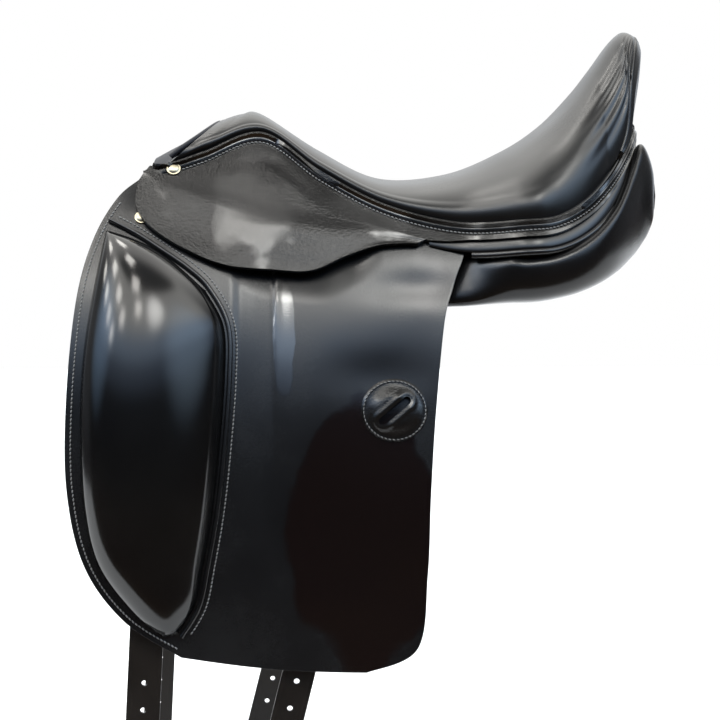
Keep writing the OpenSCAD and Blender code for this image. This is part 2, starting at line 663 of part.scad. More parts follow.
// Knee block: foam core under a leather cover, with piping behind it
block_front = [
  [-230, 64], [-250 + block_margin, 20], [-259 + block_margin, -45], [flap_front_x + block_margin, -110],
  [-258 + block_margin, -172], [-246 + block_margin, flap_low_z + 88], [-217 + block_margin, flap_low_z + 48],
  [-178, flap_low_z + 25]
];
block_rear = [
  [-142, 11], [-126, -20], [-125, -64], [-130, -128], [-136, -180], [-144, flap_low_z + 84],
  [-151, flap_low_z + 52], [-166, flap_low_z + 27]
];
block_top = [[-229, 70], [-204, 57], [-182, 43], [-160, 28]];
block_crown = 9;
function block_swell(u, v) =
  block_h * pow(sin(180 * pow(clamp(v), 0.62)), 0.62) * pow(sin(180 * pow(clamp(u), 0.8)), 0.65);
function block_spot(u, v) =
  mix(spline(block_front, v), spline(block_rear, v), u) + [0, block_crown * sin(180 * u) * pow(1 - v, 6)];
function block_at(u, v, off) = on_side(block_spot(u, v), off);
module knee_cover(s) {
  side(s) color("#18181a") sheet(
    function(u, v) block_at(u, v, patch_gap + block_swell(u, v) + block_cover_t),
    function(u, v) block_at(u, v, patch_gap + block_swell(u, v)), stations(0, 12, 12), stations(0, 16, 16)
  );
}
module knee_core(s) {
  side(s) color("#d8cfae") sheet(
    function(u, v) block_at(u, v, patch_gap + block_swell(u, v) - gap),
    function(u, v) block_at(u, v, patch_gap), stations(1, 11, 12), stations(1, 15, 16)
  );
}
pipe_line = concat(block_top, block_rear);
function pipe_at(t) = let (
  a = spline(pipe_line, t),
  d = unit(spline(pipe_line, min(t + step, 1)) - spline(pipe_line, max(t - step, 0))),
  m = a + (block_pipe_r + 1.6) * [-d[1], d[0]]
) on_side(m, block_pipe_r + patch_gap);
module knee_welt(s) {
  side(s) color("#111113") roll(function(t) pipe_at(t), block_pipe_r, 30, 6, [0, 1, 0]);
}

// Keeper for the end of the stirrup leather, with a slanted slot
function keeper_point(r, a, off) =
  on_side([keeper_x + r * keeper_len / 2 * cos(a), keeper_z + r * keeper_high / 2 * sin(a)], off);
module keeper(s) {
  sides = 24;
  radii = [1, 0.93, 0.72, 0.4];
  rise = [2, 3.4, 5.2, 6];
  rings = len(radii);
  centre_top = sides * rings;
  foot = centre_top + 1;
  points = concat(
    [for (i = [0:rings - 1], k = [0:sides - 1])
      keeper_point(radii[i], 360 * k / sides, patch_gap + keeper_h * rise[i] / 6)],
    [keeper_point(0, 0, patch_gap + keeper_h)],
    [for (k = [0:sides - 1]) keeper_point(1, 360 * k / sides, patch_gap)],
    [keeper_point(0, 0, patch_gap)]
  );
  faces = concat(
    [for (i = [0:rings - 2], k = [0:sides - 1]) let (n = (k + 1) % sides, a = i * sides, b = a + sides)
      each [[a + k, a + n, b + n], [a + k, b + n, b + k]]],
    [for (k = [0:sides - 1]) let (n = (k + 1) % sides, a = (rings - 1) * sides) [a + k, a + n, centre_top]],
    [for (k = [0:sides - 1]) let (n = (k + 1) % sides)
      each [[k, foot + k, foot + n], [k, foot + n, n], [foot + n, foot + k, foot + sides]]]
  );
  side(s) color("#19191b") difference() {
    polyhedron(points, faces, convexity = 6);
    translate([keeper_x, 0, keeper_z]) rotate([-90, 0, 0]) rotate([0, 0, -slot_angle]) {
      translate([-slot_len / 2 + slot_w / 2, -slot_w / 2, 0]) cube([slot_len - slot_w, slot_w, 300]);
      for (e = [-1, 1]) translate([e * (slot_len - slot_w) / 2, 0, 0]) cylinder(d = slot_w, h = 300);
    }
  }
}

// Domed nails in the skirt and in the flap
module nail() {
  translate([0, 0, 0.1]) cylinder(r = nail_r, h = 0.9);
  translate([0, 0, 1]) rotate_extrude() polygon(concat(
    [[0, 0]], [for (a = [0:15:90]) [nail_r * cos(a), (nail_h - 1) * sin(a)]]
  ));
}
module head_nail(s) { side(s) color("#c8b98c") at_side(-173, 119, skirt_stand) nail(); }
module flap_nail(s) { side(s) color("#c8b98c") at_side(-199, 75, 0) nail(); }

// Girth straps, each on a rivet through a short web below the tree
function strap_mid(x, z0, lean, z) = [x + lean * (z - z0), z];
module strap(s, x, z0, lean) {
  top_z = z0 + 9;
  last_hole_z = hole_top_z - (hole_count - 1) * hole_pitch;
  zs = concat(
    [for (z = [top_z:-20:-110]) z],
    [-160, -230, hole_top_z + 14, last_hole_z - 14, strap_end_z + 6, strap_end_z]
  );
  half = function(z) strap_w / 2 * (z < strap_end_z + 3 ? 0.55 : 1);
  hang = function(z) strap_inset + strap_hang * ease((z0 - z) / strap_hang_run);
  side(s) color("#1c1c1f") difference() {
    sheet(
      function(u, v) on_side(strap_mid(x, z0, lean, v) + [(2 * u - 1) * half(v), 0], -hang(v)),
      function(u, v) on_side(strap_mid(x, z0, lean, v) + [(2 * u - 1) * half(v), 0], -hang(v) - strap_t),
      [0, 1], zs
    );
    at_side(x, z0, -strap_inset) translate([0, 0, -20]) cylinder(r = strap_pin_r + 0.1, h = 30);
    for (i = [0:hole_count - 1]) let (z = hole_top_z - i * hole_pitch)
      translate([strap_mid(x, z0, lean, z)[0], 0, z]) rotate([-90, 0, 0]) cylinder(r = hole_r, h = 400);
  }
}
module strap_web(x, z0, top) {
  at_side(x, z0, -strap_inset) translate([0, 0, -strap_t * 0.9 - web_t - gap]) difference() {
    translate([-web_half, -(top - z0) * plane_norm, 0]) cube([2 * web_half, (top - z0) * plane_norm + 10, web_t]);
    translate([0, 0, -1]) cylinder(r = strap_pin_r + 0.02, h = web_t + 2);
  }
}
module strap_webs() {
  color("#e6e2d4") for (s = ["left", "right"]) side(s) {
    strap_web(strap_front_x, strap_front_z, head_foot_z - gap);
    strap_web(strap_rear_x, strap_rear_z, rail_low(strap_rear_x + web_half) - 5 * gap);
  }
}
module strap_rivets() {
  color("#c9c9cc") for (s = ["left", "right"]) side(s)
    for (p = [[strap_front_x, strap_front_z], [strap_rear_x, strap_rear_z]])
      at_side(p[0], p[1], -strap_inset) translate([0, 0, -strap_t * 0.9 - web_t - gap])
        cylinder(r = strap_pin_r, h = strap_t * 0.9 + web_t + gap);
}

tree_head();
tree_rail("left");  // tree_rail_left
tree_rail("right");  // tree_rail_right
tree_cantle();
cantle_plate();
head_plate();
head_lining();
head_rivets();
seat_webbing();
seat_foam();
seat_cover();
cantle_back();
pommel_facing();
pommel_front();
seat_welt("left");  // seat_welt_left
seat_welt("right");  // seat_welt_right
skirt("left");  // skirt_left
skirt("right");  // skirt_right
cantle_band();
panel_welt();
panel("left");  // panel_left
panel("right");  // panel_right
gullet_lining();
stirrup_bar("left");  // stirrup_bar_left
stirrup_bar("right");  // stirrup_bar_right
bar_rivets("left");  // bar_rivets_left
bar_rivets("right");  // bar_rivets_right
catch_pin("left");  // catch_pin_left
catch_pin("right");  // catch_pin_right
stirrup_catch("left");  // stirrup_catch_left
stirrup_catch("right");  // stirrup_catch_right
head_nail("left");  // head_nail_left
head_nail("right");  // head_nail_right
strap_webs();
strap_rivets();
flap("left");  // flap_left
flap("right");  // flap_right
knee_core("left");  // knee_core_left
knee_core("right");  // knee_core_right
knee_cover("left");  // knee_cover_left
knee_cover("right");  // knee_cover_right
knee_welt("left");  // knee_welt_left
knee_welt("right");  // knee_welt_right
keeper("left");  // keeper_left
keeper("right");  // keeper_right
flap_nail("left");  // flap_nail_left
flap_nail("right");  // flap_nail_right
skirt_lobe("left");  // skirt_lobe_left
skirt_lobe("right");  // skirt_lobe_right
strap("left", strap_front_x, strap_front_z, strap_front_lean);  // strap_front_left
strap("right", strap_front_x, strap_front_z, strap_front_lean);  // strap_front_right
strap("left", strap_rear_x, strap_rear_z, strap_rear_lean);  // strap_rear_left
strap("right", strap_rear_x, strap_rear_z, strap_rear_lean);  // strap_rear_right
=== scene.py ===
import bmesh
import bpy
import math
import numpy as np
from mathutils import Matrix, Vector


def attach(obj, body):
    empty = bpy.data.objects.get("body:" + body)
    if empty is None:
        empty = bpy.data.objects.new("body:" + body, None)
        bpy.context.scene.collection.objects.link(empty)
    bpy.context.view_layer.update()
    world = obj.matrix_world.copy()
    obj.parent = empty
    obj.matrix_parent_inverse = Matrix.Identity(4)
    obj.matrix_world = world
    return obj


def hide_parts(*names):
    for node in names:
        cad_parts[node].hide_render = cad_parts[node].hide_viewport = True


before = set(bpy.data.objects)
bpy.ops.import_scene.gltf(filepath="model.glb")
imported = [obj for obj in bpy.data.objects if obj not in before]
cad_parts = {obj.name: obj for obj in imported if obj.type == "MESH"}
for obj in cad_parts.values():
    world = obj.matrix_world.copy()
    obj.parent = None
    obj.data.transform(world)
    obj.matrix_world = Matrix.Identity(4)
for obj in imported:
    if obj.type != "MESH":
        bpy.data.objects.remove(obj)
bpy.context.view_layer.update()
bpy.ops.object.select_all(action="DESELECT")

# Seat cover: one piece of soft satin leather, pulled over the foam from the pommel to the top of the
# cantle and sewn to the skirts along its edge. It creases lengthwise where the cantle turns up.
# All outlines below are in millimetres on the horse's right side; the left side mirrors them.
POMMEL = (-92.0, 173.0)
DIP = (46.0, 110.0)
CANTLE = (251.0, 249.0)
# The side is straight down to a break and then fades towards upright.
SIDE_OUT, SIDE_BREAK, SIDE_SLOPE, SIDE_FADE = 108, 50, 0.63, 72
# The fold of the skirt falls evenly to the rear.
HINGE_X, HINGE_TOP, HINGE_FALL = -195, 118, 65 / 259
# The cantle's foot is a quarter of an ellipse that curls up to the rear, where the leather hangs steeper.
ARC_X, ARC_LONG, ARC_WIDE, ARC_STEP = 140, 114, 124, 15
ARC_LOW, ARC_RISE, ARC_CURL, ARC_SLOPE = 72, 93, 2.3, 0.3
SKIRT_STAND = 9.0
WELT_R = 2.1
RIM_FROM = 8
NEAR = 0.004


def mix(a, b, t):
    return a + (b - a) * t


def clamp(t):
    return min(max(t, 0.0), 1.0)


def ease(t):
    t = clamp(t)
    return t * t * (3 - 2 * t)


def bump(t):
    return math.sin(math.pi * clamp(t))


def bell(a, b=0.0):
    return math.exp(-a ** 2 - b ** 2)


def unit(v):
    return v / np.linalg.norm(v)


def vec(*c):
    return np.array(c, float)


def outline(*points):
    return [vec(*p) for p in points]


def flip(p, when):
    return vec(p[0], -p[1], p[2]) if when else p


def spline(points, t):
    n = len(points) - 1
    s = clamp(t) * n
    i = min(int(s), n - 1)
    a, b, c, d = points[max(i - 1, 0)], points[i], points[i + 1], points[min(i + 2, n)]
    t = s - i
    chord = 2 * b + (c - a) * t
    return 0.5 * (chord + (2 * a - 5 * b + 4 * c - d) * t * t + (3 * b - a - 3 * c + d) * t ** 3)


def out_at(z):
    """Half the width of the saddle's side at a height."""
    if z > SIDE_BREAK:
        return SIDE_OUT + (SIDE_BREAK - z) * SIDE_SLOPE
    return SIDE_OUT + SIDE_FADE * (1 - math.exp(-(SIDE_BREAK - z) * SIDE_SLOPE / SIDE_FADE))


def slope_at(z):
    return SIDE_SLOPE * math.exp(-max(SIDE_BREAK - z, 0) * SIDE_SLOPE / SIDE_FADE)


def on_side(p, off):
    """A point given by x and z, on the side or out from it."""
    return vec(p[0], out_at(p[1]) + off, p[1])


def hinge_z(x):
    """Height of the fold along which the skirt's lobe lifts."""
    return HINGE_TOP - HINGE_FALL * (x - HINGE_X)


def cantle_foot(a):
    a = math.radians(a)
    rise = max(math.sin(a), 0) ** ARC_CURL
    return vec(ARC_X + ARC_LONG * math.sin(a), ARC_WIDE * math.cos(a), ARC_LOW + ARC_RISE * rise)


FRONT_EDGE = [(-196.5, hinge_z(-196.5) + 4), (-175, 123.5), (-145, 133.5), (-92, 152), (-40, 116.5),
              (17, 86), (82, 70)]
EDGE = [on_side(p, SKIRT_STAND) for p in FRONT_EDGE] + [cantle_foot(a) for a in range(0, 91, ARC_STEP)]
EDGES = len(EDGE) - 1


def turn_at(t):
    """Degrees that the edge has turned round the cantle."""
    return max((t * EDGES - len(FRONT_EDGE)) * ARC_STEP, 0)


def band_frame(t):
    """The ways down and out of the leather that hangs from the seat's edge."""
    a = math.radians(turn_at(t))
    flat = unit(vec(math.sin(a) / ARC_LONG, math.cos(a) / ARC_WIDE, 0))
    fall = mix(SIDE_SLOPE, ARC_SLOPE, turn_at(t) / 90)
    return unit(flat * fall - vec(0, 0, 1)), unit(flat + vec(0, 0, fall))


def band_at(t, s, off):
    """A point at a depth below the seat's edge, on the hanging leather or out from it."""
    down, out = band_frame(t)
    return spline(EDGE, t) + down * s + out * off


def lift_at(t):
    """How far above its line the edge of the seat meets the welt."""
    run = unit(spline(EDGE, t + NEAR) - spline(EDGE, t - NEAR))
    return (WELT_R - 0.5) / np.linalg.norm(np.cross(band_frame(t)[0], run))


def seat_foot(t):
    return band_at(t, -lift_at(t), -0.5)


RISE, RUN, DROP = CANTLE[1] - DIP[1], CANTLE[0] - DIP[0], POMMEL[1] - DIP[1]
MIDDLE = [vec(-128, 168), vec(-110, 173.5), vec(*POMMEL)]
MIDDLE += [vec(mix(DIP[0], POMMEL[0], a), DIP[1] + DROP * b) for a, b in ((0.62, 0.47), (0.22, 0.06))]
MIDDLE += [vec(DIP[0] + RUN * a, DIP[1] + RISE * b) for a, b in (
    (0.16, 0.055), (0.42, 0.21), (0.6, 0.385), (0.74, 0.595), (0.83, 0.765),
    (0.905, 0.92), (0.955, 0.998), (0.987, 1.016), (1.035, 0.985))]
RIM = outline((239, 70, 153.4), (244.5, 58, 198.5), (252, 36, 231.5), (257, 15, 244))
RIM_LINE = [seat_foot((RIM_FROM + k) / EDGES) for k in (1, 2)] + RIM


def seat_edge(u):
    k = u * EDGES
    if k <= RIM_FROM + 1:
        return seat_foot((k + 1) / EDGES)
    return spline(RIM_LINE, (k - RIM_FROM) / (len(RIM_LINE) - 1))


def seat_at(u, v):
    w = abs(2 * v - 1)
    p = spline(MIDDLE, u)
    a, d = vec(p[0], 0, p[1]), seat_edge(u)
    b = a + vec(0, d[1] * 0.55, 0)
    c = vec(mix(a[0], d[0], mix(0.43, 1, ease(u / 0.25))), d[1] + 4 * ease(1 - u), mix(d[2], a[2], 0.55))
    q = (1 - w) ** 3 * a + 3 * (1 - w) ** 2 * w * b + 3 * (1 - w) * w * w * c + w ** 3 * d
    return flip(q, v < 0.5)


def seat_lift(u, v):
    w = abs(2 * v - 1)
    upturn = ease((u - 0.58) / 0.14) * (1 - ease((u - 0.84) / 0.1))
    folds = sum(s * bell((w - c - 0.2 * (0.8 - u)) / 0.042)
                for c, s in ((0.40, 0.8), (0.53, 1.2), (0.66, 1.3), (0.79, 0.9)))
    swell = 1.8 * bump((w - 0.74) / 0.25) * (1 - ease((u - 0.45) / 0.15)) * ease(u / 0.06)
    seam = 0.7 * bell((u - 0.008 - 0.05 * w) / 0.0035) * (1 - ease((w - 0.3) / 0.08))
    return swell - 1.4 * upturn * folds - seam


def drape(name, surface, nu, nv, lift=None, us=None, vs=None):
    """Lays a flat grid of leather over a surface given in millimetres and lifts it along its own normals."""
    bpy.ops.mesh.primitive_grid_add(x_subdivisions=nu, y_subdivisions=nv, size=2)
    piece = bpy.context.object
    piece.name = name
    us = np.linspace(0, 1, nu + 1) if us is None else us
    vs = np.linspace(0, 1, nv + 1) if vs is None else vs
    place = np.array([[surface(u, v) for v in vs] for u in us])
    if lift:
        up = np.cross(np.gradient(place, axis=0), np.gradient(place, axis=1))
        up /= np.maximum(np.linalg.norm(up, axis=2, keepdims=True), 1e-9)
        place = place + up * np.array([[lift(u, v) for v in vs] for u in us])[:, :, None]
    flat = np.zeros(len(piece.data.vertices) * 3)
    piece.data.vertices.foreach_get("co", flat)
    cell = np.rint((flat.reshape(-1, 3)[:, :2] + 1) / 2 * [nu, nv]).astype(int)
    piece.data.vertices.foreach_set("co", (place[cell[:, 0], cell[:, 1]] / 1000).ravel())
    piece.data.update()
    return piece


def take(piece):
    """Selects one piece alone."""
    bpy.ops.object.select_all(action="DESELECT")
    piece.select_set(True)
    bpy.context.view_layer.objects.active = piece


def smooth(piece, angle=50):
    take(piece)
    bpy.ops.object.shade_smooth_by_angle(angle=math.radians(angle))
    bpy.ops.object.select_all(action="DESELECT")


def change(piece, kind, **settings):
    """Applies one modifier with its settings to a piece."""
    bpy.context.view_layer.objects.active = piece
    step = piece.modifiers.new(kind, kind)
    for key, value in settings.items():
        setattr(step, key, value)
    bpy.ops.object.modifier_apply(modifier=kind)


def round_edges(piece, width, segments=3):
    change(piece, "BEVEL", width=width / 1000, segments=segments, limit_method="ANGLE",
           angle_limit=math.radians(50))


def thicken(piece, thick, edge=0.0):
    """Gives a sheet its thickness in millimetres, rounds its cut edge and smooths it."""
    change(piece, "SOLIDIFY", thickness=thick / 1000, offset=-1)
    if edge:
        round_edges(piece, edge)
    smooth(piece)


def round_free_edges(piece, width, kept):
    """Rounds the sharp edges of a sheet except where kept(x, z) says that it joins its neighbour."""
    shape = bmesh.new()
    shape.from_mesh(piece.data)
    weight = shape.edges.layers.float.new("bevel_weight_edge")
    for edge in shape.edges:
        if edge.is_manifold and edge.calc_face_angle(0) > 0.9:
            joined = all(kept(v.co.x * 1000, v.co.z * 1000) for v in edge.verts)
            edge[weight] = 0.0 if joined else 1.0
    shape.to_mesh(piece.data)
    shape.free()
    change(piece, "BEVEL", width=width / 1000, segments=3, limit_method="WEIGHT")
    smooth(piece)


def weld(piece, gap=0.00005, capped=True):
    """Merges the seam of a closed sheet, caps its open ends and turns its faces outward."""
    bpy.context.view_layer.objects.active = piece
    bpy.ops.object.mode_set(mode="EDIT")
    bpy.ops.mesh.select_all(action="SELECT")
    bpy.ops.mesh.remove_doubles(threshold=gap)
    if capped:
        bpy.ops.mesh.select_all(action="DESELECT")
        bpy.ops.mesh.select_non_manifold()
        bpy.ops.mesh.fill_holes(sides=0)
        bpy.ops.mesh.select_all(action="SELECT")
    bpy.ops.mesh.normals_make_consistent(inside=False)
    bpy.ops.object.mode_set(mode="OBJECT")


def dress(piece, material, body, slot, *nodes):
    """Gives a finished piece its material and its body, and hides the solids it stands for; its slot is not
    used.
    """
    piece.data.materials.clear()
    piece.data.materials.append(material)
    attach(piece, body)
    if nodes:
        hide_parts(*nodes)
    return piece


def fill(tree, node, inputs):
    """Feeds a node's inputs: a node stands for its first output, a socket is linked, a value is set."""
    for key, source in inputs.items():
        if isinstance(source, bpy.types.Node):
            source = source.outputs[0]
        if isinstance(source, bpy.types.NodeSocket):
            tree.links.new(source, node.inputs[key])
        else:
            node.inputs[key].default_value = source
    return node


def add(tree, kind, inputs, **settings):
    """A new shader node with its settings and its inputs."""
    node = tree.nodes.new("ShaderNode" + kind)
    for key, value in settings.items():
        setattr(node, key, value)
    return fill(tree, node, inputs)


def calc(tree, operation, *sources):
    return add(tree, "Math", dict(enumerate(sources)), operation=operation)


def soft_step(tree, source, low, high, top=1.0):
    """A value that eases from 0 to top while its source goes from low to high."""
    return add(tree, "MapRange", {"Value": source, "From Min": low, "From Max": high, "To Max": top},
               interpolation_type="SMOOTHSTEP")


def ramp(tree, source, stops, blend="LINEAR"):
    """Tints along a value, each with its place."""
    made = add(tree, "ValToRGB", {"Fac": source})
    made.color_ramp.interpolation = blend
    tints = made.color_ramp.elements
    for end in (0, -1):
        tints[end].position, tints[end].color = stops[end][0], (*stops[end][1], 1)
    for spot, tint in stops[1:-1]:
        tints.new(spot).color = (*tint, 1)
    return made


def on_piece(tree):
    return add(tree, "TexCoord", {}).outputs["Object"]


def material(name):
    m = bpy.data.materials.new(name)
    m.use_nodes = True
    return m, m.node_tree, m.node_tree.nodes["Principled BSDF"]


def grain_group():
    """Hide grain: small cells, fine pores and long soft creases, as a height and two masks."""
    g = bpy.data.node_groups.new("hide_grain", "ShaderNodeTree")
    for way, sockets in (("INPUT", ("Cells", "Pores", "Creases")), ("OUTPUT", ("Height", "Tone", "Gloss"))):
        for socket in sockets:
            g.interface.new_socket(socket, in_out=way, socket_type="NodeSocketFloat")
    given, where = g.nodes.new("NodeGroupInput").outputs, on_piece(g)
    bend = add(g, "TexNoise", {"Vector": where, "Scale": 90, "Detail": 2})
    warp = add(g, "VectorMath", {0: bend.outputs["Color"], 1: (0.002, 0.002, 0.002), 2: where},
               operation="MULTIPLY_ADD")
    cells = add(g, "TexVoronoi", {"Vector": warp, "Scale": given["Cells"], "Smoothness": 0.35},
                feature="SMOOTH_F1")
    pores = add(g, "TexNoise", {"Vector": where, "Scale": 2600, "Detail": 1})
    crease = add(g, "TexNoise", {"Vector": warp, "Scale": 55, "Detail": 3}, noise_type="RIDGED_MULTIFRACTAL")
    patch = add(g, "TexNoise", {"Vector": where, "Scale": 14, "Detail": 4})
    fine = calc(g, "MULTIPLY_ADD", pores, given["Pores"], cells)
    height = calc(g, "MULTIPLY_ADD", crease, given["Creases"], fine)
    gloss = calc(g, "MULTIPLY_ADD", pores, 0.35, patch)
    fill(g, g.nodes.new("NodeGroupOutput"), {"Height": height, "Tone": patch, "Gloss": gloss})
    return g


HIDE_GRAIN = grain_group()


def leather(name, dark, light, rough, cells, pores, creases, depth, specular=0.5):
    """Dyed leather: two close tones, roughness between two values, and grain as a fine relief."""
    m, tree, shader = material(name)
    grain = add(tree, "Group", {"Cells": cells, "Pores": pores, "Creases": creases},
                node_tree=HIDE_GRAIN).outputs
    sheen = add(tree, "MapRange", {"Value": grain["Gloss"], "From Min": 0.4, "From Max": 0.95,
                                   "To Min": rough[0], "To Max": rough[1]})
    relief = add(tree, "Bump", {"Height": grain["Height"], "Strength": 1.0, "Distance": depth / 1000})
    fill(tree, shader, {"Base Color": ramp(tree, grain["Tone"], ((0.35, dark), (0.7, light))),
                        "Roughness": sheen, "Normal": relief, "Specular IOR Level": specular})
    return m


SEAT_LEATHER = leather("seat_leather", (0.004, 0.004, 0.0042), (0.0065, 0.0065, 0.0065),
                       (0.25, 0.36), 950, 0.25, 0.12, 0.03)
us = np.linspace(0, 1, 600)
run = [np.linalg.norm(spline(MIDDLE, b) - spline(MIDDLE, a)) + np.linalg.norm(seat_edge(b) - seat_edge(a))
       for a, b in zip(us[:-1], us[1:])]
run = np.concatenate([[0], np.cumsum(run)])
seat_us = np.interp(np.linspace(0, run[-1], 261), run, us)
seat_cover = drape("seat_cover_dressed", seat_at, 260, 110, seat_lift, us=seat_us)
thicken(seat_cover, 3.0, 0.8)
dress(seat_cover, SEAT_LEATHER, "saddle", "seat_leather", "seat_cover")

# Back of the cantle: a separate piece of the same leather, lapped over the seat's edge at its foot. A
# padded roll covers the rim, thick at the top of the cantle and thin at its two ends.
RIM_LAP = vec(1.6, 0.8, -1.4)
BACK_RIM = [vec(260, 0, 245)] + [RIM[i] + RIM_LAP for i in (3, 2, 1, 0)]
BACK_RIM += [mix(RIM_LINE[1], RIM[0], 0.6) + RIM_LAP]


def back_at(u, v):
    w = abs(2 * u - 1)
    t = 1 - w * 5 / 26
    foot = band_at(t, -lift_at(t) - 1.2, -0.5)
    p = mix(spline(BACK_RIM, w), foot, v) + vec(3.5 * bump(v ** 0.5) * (1 - w) ** 1.5, 0, 0)
    return flip(p, u > 0.5)


def back_lift(u, v):
    return 0.4 + 2.6 * ease(v / 0.16) + 0.5 * bump(v) * math.sin(9 * math.pi * u + 4 * v) * bump(u)


cantle_back = drape("cantle_back_dressed", back_at, 80, 40, back_lift)
thicken(cantle_back, 2.6, 0.8)
dress(cantle_back, SEAT_LEATHER, "saddle", "seat_leather", "cantle_back")

RIM_STEPS, RIM_CROWN = 80, 0.2
rim_run = np.array([seat_at(1, 0.5 + 2.5 * w) if w < RIM_CROWN
                    else seat_edge(1 - (w - RIM_CROWN) * 4.25 / EDGES)
                    for w in np.linspace(0, 1, RIM_STEPS + 1)])
rim_run = np.vstack([rim_run[:0:-1] * [1, -1, 1], rim_run])
for _ in range(16):
    rim_run[1:-1] = (rim_run[:-2] + 2 * rim_run[1:-1] + rim_run[2:]) / 4
rim_run = list(rim_run[RIM_STEPS:])


def rim_roll_at(u, v):
    w = abs(2 * u - 1)
    r = mix(3.4, 1.7, min(w * 1.1, 1) ** 0.8)
    ahead = vec(0, 1, 0)
    if w > 0.02:
        ahead = unit(spline(rim_run, min(w + 0.02, 1)) - spline(rim_run, max(w - 0.02, 0)))
    out = unit(np.cross(ahead, np.cross(vec(0.85, 0.3 * w, 0.4), ahead)))
    side = np.cross(ahead, out)
    a = 2 * math.pi * v
    p = spline(rim_run, w) + vec(0.8, 0.2, -1.6) + out * (1.2 - r + r * math.cos(a)) + side * r * math.sin(a)
    return flip(p, u > 0.5)


rim_roll = drape("cantle_rim_roll", rim_roll_at, 120, 28)
weld(rim_roll)
smooth(rim_roll, 70)
dress(rim_roll, SEAT_LEATHER, "saddle", "seat_leather")


# Pommel edge: the leather along the front of the pommel is rolled over a cord, and below it a
# leather front closes the way down to the head of the tree.
def before_seat(v, ahead, below):
    across = unit(seat_at(0, v + NEAR) - seat_at(0, v - NEAR))
    along = unit(seat_at(NEAR * 2, v) - seat_at(0, v))
    up = unit(np.cross(along, across))
    return seat_at(0, v) - unit(np.cross(across, up)) * ahead - up * below


def put(name, data):
    """Puts a new object with this data in the scene."""
    made = bpy.data.objects.new(name, data)
    bpy.context.scene.collection.objects.link(made)
    return made


def tube(name, points, radius, rounds=3):
    """A round roll of leather or cord along points in millimetres."""
    line = bpy.data.curves.new(name, "CURVE")
    line.dimensions = "3D"
    line.bevel_depth = radius / 1000
    line.bevel_resolution = rounds
    line.use_fill_caps = True
    run = line.splines.new("POLY")
    run.points.add(len(points) - 1)
    for spot, p in zip(run.points, points):
        spot.co = (*(np.array(p) / 1000), 1)
    take(put(name, line))
    bpy.ops.object.convert(target="MESH")
    piece = bpy.context.object
    smooth(piece, 60)
    return piece


WELT_LEATHER = leather("welt_leather", (0.0035, 0.0035, 0.004), (0.006, 0.006, 0.006),
                       (0.2, 0.3), 1100, 0.3, 0.05, 0.02)
FACING_LEATHER = leather("facing_leather", (0.012, 0.013, 0.017), (0.02, 0.021, 0.026),
                         (0.45, 0.6), 900, 0.4, 0.1, 0.04, specular=0.2)
facing_run = [before_seat(mix(0.02, 0.98, i / 60), 3.4, 2) for i in range(61)]
facing = tube("pommel_facing_dressed", facing_run, 2.4, 4)
dress(facing, FACING_LEATHER, "saddle", "welt_leather", "pommel_facing")


def arch_curve(inset, t):
    back, top = 5.5 + inset, 130 - inset
    a, b, c = vec(out_at(100) - back, 100), vec(out_at(top) - back, top), vec(0, top)
    return (1 - t) ** 2 * a + 2 * t * (1 - t) * b + t * t * c


def pommel_front_at(u, v):
    top = before_seat(mix(0.06, 0.94, u), 2.4, 5.2)
    w = abs(2 * u - 1)
    q = arch_curve(-2.8, mix(1, 0.25, w))
    return mix(top, flip(vec(-190.2 - 3 * w, q[0], q[1] - 5 * w), u < 0.5), v)


def pommel_front_lift(u, v):
    return 1.2 * bump(v) * bump(u) - 0.2


pommel_front = drape("pommel_front_dressed", pommel_front_at, 48, 16, pommel_front_lift)
thicken(pommel_front, 1.8, 0.5)
dress(pommel_front, FACING_LEATHER, "saddle", "seat_leather", "pommel_front")


# Welts: a thin leather roll over a cord, sewn between the seat and the skirts on both sides. They run
# from the pommel to the middle of the cantle.
def mirrored(piece, name):
    """The same piece on the horse's left, with its own mesh turned right side out."""
    twin = piece.copy()
    twin.data = piece.data.copy()
    twin.name = name
    bpy.context.scene.collection.objects.link(twin)
    co = np.zeros(len(twin.data.vertices) * 3)
    twin.data.vertices.foreach_get("co", co)
    co = co.reshape(-1, 3) * [1, -1, 1]
    twin.data.vertices.foreach_set("co", co.ravel())
    twin.data.flip_normals()
    twin.data.update()
    return twin


def pair(piece, stem, material, body, slot, node=None):
    """Dresses a right-hand piece and its mirror image for both sides of the saddle."""
    both = {"right": piece, "left": mirrored(piece, stem + "_left_dressed")}
    piece.name = stem + "_right_dressed"
    for side, each in both.items():
        nodes = [node + "_" + side] if node else []
        dress(each, material, body if body == "saddle" else body + "_" + side, slot, *nodes)
    return both


welt = tube("seat_welt", [band_at(mix(1 / EDGES, 1, i / 160), 0, -1.4) for i in range(161)], WELT_R)
pair(welt, "seat_welt", WELT_LEATHER, "saddle", "welt_leather", "seat_welt")

# Skirts, sewn part: grained leather from the welt down to the fold, and back round the cantle as a
# strip that gathers behind it. A row of black stitches runs below the welt.
GATHERED, GATHER_OUT = 0.68, 3.5
STRIP_DROP, SEAM_ROWS = 16, 0.6


def gather(turn):
    """How far the strips have drawn together after a turn round the cantle."""
    return ease((turn - 35) / 55)


def gather_at(t):
    return gather(turn_at(t))


def skirt_t(u):
    return mix(0.02, 0.998, u)


def skirt_drop(t):
    p = spline(EDGE, t)
    if turn_at(t) > 0:
        return mix(STRIP_DROP, 14, ease(turn_at(t) / 30)) * mix(1, GATHERED, gather_at(t))
    to_fold = (p[2] - hinge_z(p[0])) * math.sqrt(1 + SIDE_SLOPE ** 2)
    return mix(to_fold, STRIP_DROP, ease((p[0] - 50) / 45))


def skirt_depth(t, v):
    drop = skirt_drop(t)
    seam = min(14, 0.9 * drop)
    return seam * v / SEAM_ROWS if v < SEAM_ROWS else mix(seam, drop, (v - SEAM_ROWS) / (1 - SEAM_ROWS))


